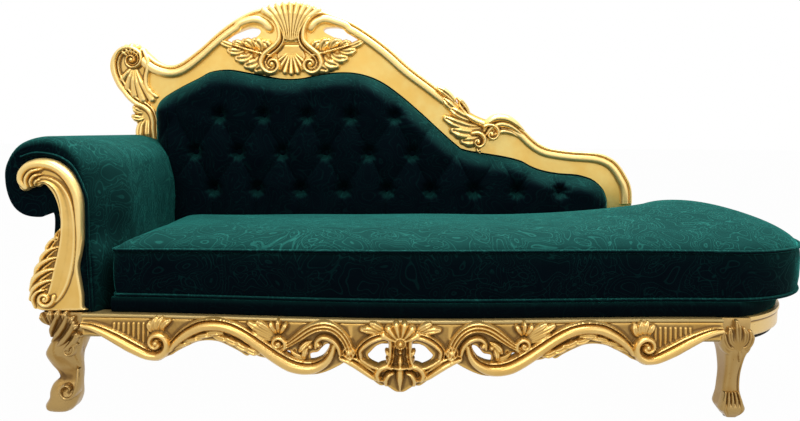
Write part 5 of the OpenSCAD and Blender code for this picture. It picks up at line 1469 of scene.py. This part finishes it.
# %% Apron outlines
fret = [0, .68, .04, .68, .085, .63, .146, .49, .193, .378, .209, .34, .241, .34, .266, .4,
        .284, .43, .305, .49, .355, .6, .385, .635, .414, .64, .44, .62, .47, .565, .5, .5,
        .522, .445, .54, .475, .562, .44, .594, .41, .624, .34, .656, .27, .687, .232,
        .719, .216, .75, .232, .781, .281, .812, .351, .835, .4, .86, .335, .885, .238,
        .913, .168, .938, .092, .957, .086, .985, .01, 1, 0]
eye_hole = [.637, .555, .655, .56, .676, .575, .67, .515, .655, .495, .64, .52]
loop_hole = [.7225, .527, .745, .555, .757, .61, .77, .66, .783, .66, .786, .583, .78, .513,
             .764, .457, .745, .444, .726, .43]
oval_hole = [.9, .527, .91, .58, .926, .65, .945, .685, .962, .69, .963, .6, .957, .46, .942, .405,
             .926, .425, .907, .47]


def apron_surface(x):
    """The face of the pierced plate, which stands just clear of the front rail."""
    return front(x) - CLEAR - FRET_T


def apron_side(side):
    """The forms of one half: side is 1 for the left and -1 for the right, and it mirrors
    every path about the middle of the apron."""
    grow = 1.0 if side > 0 else HALF_RIGHT / -HALF_LEFT

    def at(flat):
        p = on_apron(flat)
        if side < 0:
            p[:, 0] = APRON_MID + (APRON_MID - p[:, 0]) * grow
        return p

    def half_shares(flat):
        x, half = (RAIL_X, HALF_LEFT) if side > 0 else (RIGHT_BLOCK_X, HALF_RIGHT)
        return shares(flat, x, half, RAIL_TOP - APRON_DROP, APRON_DROP)

    def section(kind):
        return lambda u: kind(side * u)

    lower = curve(half_shares(fret), 4.0) + [0, 4.5]
    top = half_shares([1, .946, 0, .946])
    holes = [curve(half_shares(h), 3.0, closed=True) for h in (eye_hole, loop_hole, oval_hole)]
    forms = [plate(np.concatenate([lower, top]), 2.0, 3.0, holes)]
    outer = at([80, 325.5, 90, 327, 100, 330.5, 110, 335, 120, 340, 130, 345.5, 140, 350.5,
                148, 354, 156, 355])
    wind = spiral(at([156.5, 342.5])[0], outer[-1], 1.15 * side, 8, 40)
    forms += [
        band(np.concatenate([outer, wind[1:]]), [16, 24, 31, 36, 38, 36, 31, 27, 24, 20, 16],
             [12, 16, 20, 23, 24, 24, 24, 24, 25, 26], section=section(rimmed)),
        boss(at([156.5, 342.5]), 10, 27)]
    for u in (113, 117.5, 122.5, 127.5, 132.5, 137.5, 142.5, 147.5):
        low = np.interp(u, [84, 105, 125, 145], [322, 325.5, 335.5, 343.5])
        forms.append(band(at([u, 324.5, u, (324.5 + low) / 2 + 1, u, max(low, 327) + 3]),
                          [8, 8.5, 8], [6, 7, 6], step=1.5))
    arch = at([169, 350, 172, 345, 177, 340, 183, 335, 190, 330.5, 200, 326, 210, 324.5, 220, 325,
               230, 327.5, 240, 332, 250, 338, 260, 345, 270, 352, 280, 358.5, 290, 364,
               300, 367, 310, 367.5, 318, 365.5, 326, 360.5, 331, 353, 333, 346])
    forms += [
        band(arch, [16, 29, 34, 35, 35, 35, 37, 40, 42, 38, 28, 18],
             [16, 21, 24, 24, 24, 24, 25, 27, 27, 25, 22, 18], section=section(rimmed)),
        band(spiral(at([277.5, 343.5])[0], at([284, 349])[0], 1.25 * side, 5, 30),
             [12, 14, 12, 8], [18, 21, 21, 22]),
        boss(at([277.5, 343.5]), 7, 23)]
    loop = at([280, 350, 286, 345.5, 293, 341, 300, 336, 308, 330.5, 316, 327, 325, 326, 333, 328,
               340, 333, 345.5, 340, 349, 348, 350, 356])
    forms += [
        band(loop, [14, 20, 26, 28, 28, 26, 24, 22], [16, 19, 21, 22, 22, 22, 23, 22],
             section=section(triple)),
        band(at([315.5, 348, 316.5, 342, 321, 338, 327, 338, 333, 341, 338, 347, 340, 354]),
             [10, 14, 16, 16, 15, 12], [16, 19, 20, 20, 19, 18]),
        boss(at([318.5, 345]), 8, 21),
        boss(at([310, 346.5]), 8, 19),
        boss(at([349, 352]), 17, 26, ring=True),
        band(at([342, 358, 350, 360.5, 358, 364.5, 366, 370, 374, 376, 383, 380.5]),
             [20, 28, 30, 28, 24, 12], [18, 22, 24, 23, 20, 14], section=section(reeded)),
        band(at([360, 358.5, 359, 351, 364, 344.5, 371, 339.5, 379, 336.5, 387, 336, 391.5, 341,
                 391.5, 350, 390.5, 360, 386, 367, 377, 368.5, 368, 365, 361.5, 360.5]),
             [16, 20, 22, 21, 18, 16, 16, 18, 20, 18], [20, 23, 25, 25, 23, 21, 21, 23, 23, 21],
             section=section(reeded)),
        band(at([391.5, 368, 386, 366, 380, 368.5, 377, 374, 379, 380]), [12, 19, 21, 19, 13],
             [20, 26, 27, 25, 20]),
        band(at([393, 373, 389, 374.5, 386, 379, 386, 385]), [10, 16, 16, 10], [20, 25, 24, 17])]
    forms += lobes(at, (
        ([172, 351, 188, 344.5], 12, 13, .1), ([180, 347, 200, 339], 14, 15, .1),
        ([190, 342, 211, 335.5], 15, 16, .1), ([200, 337.5, 222, 333.5], 15, 17, .1),
        ([211, 334, 228, 339], 17, 18, -.1), ([221, 334, 239, 343.5], 18, 19, -.12),
        ([231, 338, 249, 349], 19, 20, -.12), ([241, 343, 258.5, 353], 20, 20, -.12),
        ([274, 338, 249, 323.5], 19, 20, 0), ([274, 335, 257, 322], 16, 20, -.05),
        ([274, 341, 254, 331], 16, 18, .05), ([276, 334, 270.5, 323.5], 13, 21, 0),
        ([278, 333, 278, 320.5], 13, 22, 0), ([280, 334, 286, 324], 13, 21, 0),
        ([311, 342, 300, 351], 16, 20, -.1), ([309, 345, 304, 358], 15, 19, -.1),
        ([290, 351, 305, 358], 13, 14, -.1), ([383, 338, 362, 330], 20, 19, -.12),
        ([385, 335, 371, 324], 18, 20, -.1), ([395, 357, 386.5, 351.5], 13, 20, .1),
        ([394, 362, 387, 359], 11, 18, .1)), side)
    for u, tip_v in ((150, 322.5), (156, 318.5), (162, 318.5), (169, 321)):
        forms.append(lobe(*at([157 + (u - 158) * 0.45, 333, u, tip_v]), 17, 17))
    return forms


# %% Apron carving
APRON_MID_U, CARTOUCHE_HALF = 395.0, 122.0


def mid_z(*rows):
    """Heights of pixel rows down the middle of the apron."""
    return on_apron([[APRON_MID_U, row] for row in rows])[:, 1]


cartouche_middle = np.array([APRON_MID, mid_z(343)[0]])
centre_forms = [
    boss(cartouche_middle, 20, 20),
    boss(cartouche_middle, 15.5, 30, ring=True)]
for angle in np.radians([25, 51, 77, 103, 129, 155]):
    way = np.array([math.cos(angle), math.sin(angle)])
    centre_forms.append(band([cartouche_middle + reach * way for reach in (12, 28, 45)],
                             [8, 17, 22], [20, 27, 26]))
for row, radius, height in ((352, 6, 24), (357, 5, 22)):
    centre_forms.append(boss([APRON_MID, mid_z(row)[0]], radius, height))
for rows, width, height in (((356, 366), [8, 16, 10], [20, 26, 22]),
                            ((370, 391.5), [20, 22, 12, 4], [22, 25, 20, 12])):
    z = mid_z(*rows)
    centre_forms.append(band([[APRON_MID, z[0]], [APRON_MID, z.mean()], [APRON_MID, z[1]]],
                             width, height))
z = mid_z(367.5)[0]
centre_forms.append(band([[APRON_MID - 18, z], [APRON_MID, z], [APRON_MID + 18, z]],
                         [6, 14, 6], [20, 28, 20]))
apron_forms = apron_side(1) + apron_side(-1) + centre_forms
side_parts = ("fret", "scrolls", "flutes", "flower")
apron_nodes = {
    "left": [f"apron_left_{part}" for part in side_parts], "middle": ["apron_cartouche"],
    "right": [f"apron_right_{part}" for part in side_parts]}
edges = (RAIL_X, APRON_MID - CARTOUCHE_HALF, APRON_MID + CARTOUCHE_HALF, RIGHT_BLOCK_X)
for (place, nodes), *span in zip(apron_nodes.items(), edges[:-1], edges[1:]):
    relief(f"carving_apron_{place}", apron_forms, 1.5, apron_surface, FRET_T, gilt_apron_shaded, nodes,
           clip=span, shade_below=11.0)

# %% [markdown]
# Legs: each is a stack of rounded sections that bends forward at the knee and back at
# the ankle, topped by its block. The front ones have folds or flutes cut into them.

# %% Legs
GLIDE_H, LEG_SIDES = 4.0, 72
KNEE_ROOT, FOOT_ROOT = 14.0, 12.0      # how deep those reliefs are set into the legs


def leg(name, x, y, w, d, rows, node, ripple=None, boxy=0.62, cut=0.0):
    """Rows list (share of the height, left, right, front and back edge as shares of the
    block), with smooth curves between them. Each section is a rounded box: the cosine and
    sine to the power boxy in the shaft, and nearly square in the block. Ripple adds folds,
    and cut narrows the block's left side below its top."""
    rows = even(np.asarray(rows, float).reshape(-1, 5), 90)
    height = GLIDE_H + rows[:, 0] * (RAIL_Z - GLIDE_H)
    square = np.full(len(rows), boxy)
    block_z = np.array([RAIL_Z, RAIL_Z + 1.5, RAIL_Z + 3, RAIL_Z + 20, RAIL_TOP - 2.5,
                        RAIL_TOP - 0.8, RAIL_TOP])
    block_in = np.array([0.03, 0.01, 0.0, 0.0, 0.0, 0.01, 0.04])
    cut_in = cut * np.clip((RAIL_TOP - 10 - block_z) / 40, 0, 1) ** 0.6
    block = np.stack([block_z, block_in + cut_in, 1 - block_in, block_in, 1 - block_in], axis=1)
    rows = np.concatenate([np.column_stack([height, rows[:, 1:]]), block])
    square = np.concatenate([square, np.full(len(block), 0.12)])
    a = -(np.arange(LEG_SIDES) + 0.5) / LEG_SIDES * 2 * np.pi
    c = np.sign(np.cos(a)) * np.abs(np.cos(a)) ** square[:, None]
    s = np.sign(np.sin(a)) * np.abs(np.sin(a)) ** square[:, None]
    cx, hx = x + w * (rows[:, 1] + rows[:, 2]) / 2, w * (rows[:, 2] - rows[:, 1]) / 2
    cy, hy = y + d * (rows[:, 3] + rows[:, 4]) / 2, d * (rows[:, 4] - rows[:, 3]) / 2
    out = ripple(a[None, :], rows[:, :1]) if ripple else np.zeros((len(rows), LEG_SIDES))
    px = cx[:, None] + hx[:, None] * c + out * np.cos(a)
    py = cy[:, None] + hy[:, None] * s + out * np.sin(a)
    pz = np.repeat(rows[:, :1], LEG_SIDES, axis=1)
    n, m = px.shape
    points = np.stack([px, py, pz], axis=2).reshape(-1, 3)
    return piece(name, points, [grid_faces(n, m, wrap=True)[:, ::-1], end_caps(n, m)[:, ::-1]],
                 gilt_low_shaded, stands_for=(node,), carved=True, sharp=60, rounds=14)


def left_folds(a, z):
    """Folds of the knee leaf that sweep down round the leg, and the roll over the toes."""
    knee = np.exp(-((z - 165) / 38) ** 2)
    ankle = np.exp(-((z - 95) / 26) ** 2)
    toes = np.exp(-((z - 18) / 14) ** 2)
    return (2.6 * knee * (np.abs(np.sin(3.5 * a + z / 26)) ** 0.6 - 0.5)
            + 1.4 * ankle * np.abs(np.sin(3 * a + z / 40))
            + 1.6 * toes * (np.abs(np.sin(5 * a)) - 0.4))


def right_flutes(a, z):
    """Flutes on the foot and one long groove down the shaft."""
    foot = np.exp(-((z - 26) / 13) ** 2)
    shaft = np.exp(-((z - 105) / 45) ** 2)
    groove = np.exp(-((np.angle(np.exp(1j * (a + 1.35)))) / 0.16) ** 2)
    return 2.0 * foot * (np.abs(np.sin(7 * a)) ** 0.7 - 0.4) - 3.0 * shaft * groove


left_rows = [0, .2, .5, -.05, .55, .03, .02, .62, -.2, .68, .09, -.02, .72, -.26, .72,
             .185, .07, .8, -.22, .68, .265, .07, .82, -.13, .62, .355, .13, .82, 0, .57,
             .435, .28, .83, .1, .54, .515, .245, .84, .09, .54, .615, .13, .85, -.02, .56,
             .745, .02, .86, -.15, .62, .825, .05, .9, -.18, .7, .93, .15, .96, -.12, .86,
             1, .19, 1, -.06, 1]
right_rows = [0, .36, .7, 0, .6, .06, .25, .86, -.1, .7, .125, .15, .93, -.14, .76,
              .19, .15, .9, -.1, .76, .28, .19, .84, -.02, .72, .38, .21, .79, .03, .7,
              .58, .25, .79, .02, .74, .78, .22, .86, -.06, .86, .9, .16, .97, -.1, .96,
              1, .04, 1, -.06, 1]
TOE = 1 + 19.0 / BLOCK_D
back_rows = [0, .2, .72, .62, TOE, .05, .16, .76, .58, TOE, .3, .16, .78, .42, 1.08,
             .6, .12, .86, .22, 1, .85, .04, .96, .06, 1, 1, 0, 1, 0, 1]
leg("leg_front_left", BLOCK_X, FRONT_Y, LEFT_BLOCK_W, BLOCK_D, left_rows, "front_left_leg",
    left_folds, cut=0.18)
leg("leg_front_right", RIGHT_BLOCK_X, FRONT_Y, RIGHT_BLOCK_W, BLOCK_D, right_rows,
    "front_right_leg", right_flutes, boxy=0.3)
leg("leg_back_left", BLOCK_X, BACK_Y - BLOCK_D, LEFT_BLOCK_W, BLOCK_D, back_rows,
    "back_left_leg")
leg("leg_back_right", RIGHT_BLOCK_X, BACK_Y - BLOCK_D, RIGHT_BLOCK_W, BLOCK_D, back_rows,
    "back_right_leg")

# %% [markdown]
# Leaves are carved on the knees, a scroll on the left foot and flutes on the right one, as
# reliefs of their own that stand on the front of the leg.

# %% Knee leaves, foot scroll and flutes
knee_forms = [
    plate(on_leg([41, 317, 49, 315, 57, 314.5, 64, 316, 70, 319.5, 73, 326, 75.5, 334, 74, 342,
                  70, 349, 63, 352, 55, 352, 48, 351, 51, 341, 51.5, 330, 46, 322]), 8.0, 5.0)]
for fold, width in (([57, 315.5, 54, 323, 51, 331, 50, 337], 16),
                    ([66, 317.5, 63, 325.5, 58, 333.5, 51, 342], 19),
                    ([73, 323.5, 70, 331.5, 64, 340, 55, 349], 20),
                    ([76, 334.5, 73.5, 341, 68, 347.5, 60, 354], 18)):
    knee_forms.append(band(on_leg(fold), [width * 0.7, width, width, width * 0.45],
                           [15, 20, 20, 9]))
knee_forms += lobes(on_leg, (
    ([46, 325, 40.5, 315.5], 16, 17, .05), ([51, 324, 49, 312.8], 19, 17, .05),
    ([57, 323, 57, 312.3], 19, 17, .05), ([63, 323, 65, 313.5], 18, 17, .05),
    ([67, 326, 72.5, 318], 17, 17, .05), ([68, 332, 76.5, 326.5], 16, 17, .05),
    ([69, 338, 78.5, 336], 17, 17, .05), ([67, 344, 76, 345], 16, 17, .05)))
knee_forms.append(band(spiral(on_leg([67.5, 350.5])[0], on_leg([73, 346])[0], -1.2, 4, 24),
                       [12, 13, 10, 7], [17, 19, 18, 18]))
relief("carving_knee_left", knee_forms, 1.4, FRONT_Y, KNEE_ROOT, gilt_low_shaded, ("left_knee_leaf",))
right_knee_forms = [
    plate(on_leg([741, 356, 735, 350, 730, 343, 725, 337, 724, 333.5, 731, 331, 734, 327.5,
                  737.5, 324, 741, 327.5, 744, 331, 750, 333.5, 750, 337, 747, 343, 744, 350]),
          9.0, 5.0)]
right_knee_forms += lobes(on_leg, (
    ([740.5, 347, 737.5, 322.5], 19, 19, 0), ([740, 349, 731, 329.5], 16, 16, .18),
    ([741.5, 349, 745, 329.5], 16, 16, -.18), ([740, 352, 724, 332.5], 17, 15, .22),
    ([741.5, 352, 752, 333], 17, 15, -.22), ([740, 356, 724.5, 341], 13, 10, .22),
    ([742, 356, 750, 342], 13, 10, -.22), ([741, 343, 741, 362], 10, 13, 0)))
relief("carving_knee_right", right_knee_forms, 1.3, FRONT_Y, KNEE_ROOT, gilt_low_shaded,
       ("right_knee_leaf",))
foot_forms = [
    band(on_leg([76, 371, 77, 381, 75.5, 391, 71, 397.5, 64.5, 398, 60.5, 392.5, 62.5, 387,
                 67.5, 386, 70.5, 389.5, 68, 392.5]), [7, 11, 14, 15, 13, 12, 11, 9, 8, 7],
         [5, 12, 17, 20, 20, 20, 20, 19, 19, 19])]
relief("carving_foot_left", foot_forms, 1.3, FRONT_Y, FOOT_ROOT, gilt_low_shaded)
FLUTES_U = 733.5         # pixel column between the flutes
flute_forms = [band(on_leg([FLUTES_U + 6.5 * t, 394, FLUTES_U + 8.2 * t, 402, FLUTES_U + 9.6 * t,
                            410]), [6, 11, 13], [8, 13, 11]) for t in np.linspace(-1, 1, 5)]
relief("carving_foot_right", flute_forms, 1.2, FRONT_Y, FOOT_ROOT, gilt_low_shaded)

# %% [markdown]
# A thin dust cover is stretched under the frame and stapled to the rails. It is a sheet
# of cloth cut round the four legs, and it sags by a millimetre or so between its tacks.

# %% Dust cover
LEG_GAP, TACK_INSET = 8.0, 12.0


def cover_distance(points):
    """Signed distance to the cover: the seat's outline less a square round each leg."""
    x = np.linspace(BLOCK_X + LEG_GAP, RIGHT_BLOCK_END, 50)
    lead = np.stack([x, front(x) + 18.0], axis=1)
    outline = np.concatenate([
        lead, frame_end(END_R - TACK_INSET, 50),
        [[RIGHT_BLOCK_END, BACK_Y - TACK_INSET], [BLOCK_X + LEG_GAP, BACK_Y - TACK_INSET]]])
    d = edge_distance(outline, points)
    for x0, w in ((BLOCK_X, LEFT_BLOCK_W), (RIGHT_BLOCK_X, RIGHT_BLOCK_W)):
        for y0 in (FRONT_Y, BACK_Y - BLOCK_D):
            left, right = x0 - LEG_GAP, x0 + w + LEG_GAP
            near, far = y0 - LEG_GAP, y0 + BLOCK_D + LEG_GAP
            box = np.array([[left, near], [right, near], [right, far], [left, far]])
            d = np.maximum(d, -edge_distance(box, points))
    return d


COVER_LOW, COVER_HIGH = np.array([-960.0, -345.0]), np.array([995.0, 340.0])
flat, quads, rim, _ = field_cells(cover_distance, COVER_LOW, COVER_HIGH, 11.0)
sag = 1.2 * np.sin(np.pi * np.clip(-cover_distance(flat) / 60, 0, 1) / 2)
n = len(flat)
upper = np.column_stack([flat, RAIL_Z - 0.2 - sag])
lower_side = np.column_stack([flat, RAIL_Z - 1.0 - sag])
cover = piece("dust_cover_cloth", np.concatenate([upper, lower_side]),
              slab_faces(quads, rim, n), dust_cloth, slot="dust_cloth",
              stands_for=("dust_cover",))
a, b = flat[quads[:, 2]] - flat[quads[:, 0]], flat[quads[:, 3]] - flat[quads[:, 1]]
cover_area = float(np.abs(a[:, 0] * b[:, 1] - a[:, 1] * b[:, 0]).sum() / 2) * MM * MM
print("dust cover", round(cover_area, 3), "square metres")

# %% [markdown]
# The CAD parts that stay are right as they are and only get their finish: rails and
# blocks inside the frame, the closed back, webbing, screws and glides.

# %% Finishes of the parts that stay
finishes = {"back_rail": gilt_rail_shaded, "left_rail": gilt_rail_shaded, "back_bottom_rail": gilt,
            "cross_rails": beech, "corner_blocks": beech, "arm_panel": beech, "arm_roller": beech,
            "leg_glides": glide_plastic, "back_backing": beech, "back_panel": dark_velvet,
            "seat_webbing": linen, "block_screws": steel, "back_bolts": steel}
for name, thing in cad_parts.items():
    material = finishes.get(name, gilt)
    for place in range(len(thing.data.materials)):
        thing.data.materials[place] = material
print(len(finishes), "CAD parts finished")

# %% [markdown]
# A pale floor and three large soft lamps, as in a plain studio. The world lights the
# couch dimly but shows white to the camera and in the gold's reflections.

# %% Studio
FLOOR_GREY, FLOOR_GLOW, SKY_LIGHT = 0.25, 0.985, 0.38
# Each lamp: where it stands, where it looks, its side in metres and its watts
LAMPS = {"key": ((-1.1, -2.8, 3.2), (0, 0, 0.5), 2.2, 62.0),
         "fill": ((2.6, -2.4, 1.9), (0.1, 0, 0.4), 2.6, 22.0),
         "top": ((0.3, 0.5, 3.3), (0, 0.0, 0.4), 2.6, 190.0)}


def shown_white(tree):
    """1 for the rays of the camera, of reflections and of clear things, and 0 for the rest."""
    path = tree.nodes.new("ShaderNodeLightPath")
    camera_ray, glossy_ray, clear_ray = [Wire(tree, path.outputs[f"Is {kind} Ray"])
                                         for kind in ("Camera", "Glossy", "Transmission")]
    return (camera_ray + glossy_ray + clear_ray).clamp()


def make_floor():
    """Pale floor: it receives the shadow, and shows nearly white to the camera."""
    mesh = bpy.data.meshes.new("floor")
    size = 30.0
    mesh.from_pydata([(-size, -size, 0), (size, -size, 0), (size, size, 0), (-size, size, 0)], [],
                     [(0, 1, 2, 3)])
    floor = bpy.data.objects.new("floor", mesh)
    bpy.context.scene.collection.objects.link(floor)
    material = bpy.data.materials.new("floor")
    material.use_nodes = True
    tree = material.node_tree
    tree.nodes.clear()
    paint = Paint(tree)
    pale = paint.node("ShaderNodeBsdfDiffuse", None, Color=(*[FLOOR_GREY] * 3, 1.0))
    glow = paint.node("ShaderNodeEmission", None, Color=(1.0, 1.0, 1.0, 1.0), Strength=1.0)
    both = paint.node("ShaderNodeMixShader", None, shown_white(tree) * FLOOR_GLOW, pale, glow)
    output = tree.nodes.new("ShaderNodeOutputMaterial")
    tree.links.new(both.socket, output.inputs["Surface"])
    mesh.materials.append(material)


def make_lamp(name, place, target, size, watts):
    """A square area lamp at a place that looks at a target."""
    data = bpy.data.lights.new(name, "AREA")
    data.shape, data.size, data.energy = "SQUARE", size, watts
    lamp = bpy.data.objects.new(name, data)
    place, target = np.asarray(place, float), np.asarray(target, float)
    z = place - target
    z /= np.linalg.norm(z)
    x = np.cross([0, 0, 1.0], z)
    x /= np.linalg.norm(x)
    matrix = Matrix([list(v) for v in zip(x, np.cross(z, x), z)]).to_4x4()
    matrix.translation = place
    lamp.matrix_world = matrix
    bpy.context.scene.collection.objects.link(lamp)


make_floor()
for name, values in LAMPS.items():
    make_lamp(name, *values)
world = bpy.data.worlds.new("studio")
bpy.context.scene.world = world
world.use_nodes = True
tree = world.node_tree
tree.nodes.clear()
sky = Paint(tree).node("ShaderNodeBackground", None, (1.0, 1.0, 1.0, 1.0),
                       shown_white(tree) * (1.0 - SKY_LIGHT) + SKY_LIGHT)
out = tree.nodes.new("ShaderNodeOutputWorld")
tree.links.new(sky.socket, out.inputs["Surface"])
bpy.context.scene.view_settings.view_transform = "Standard"
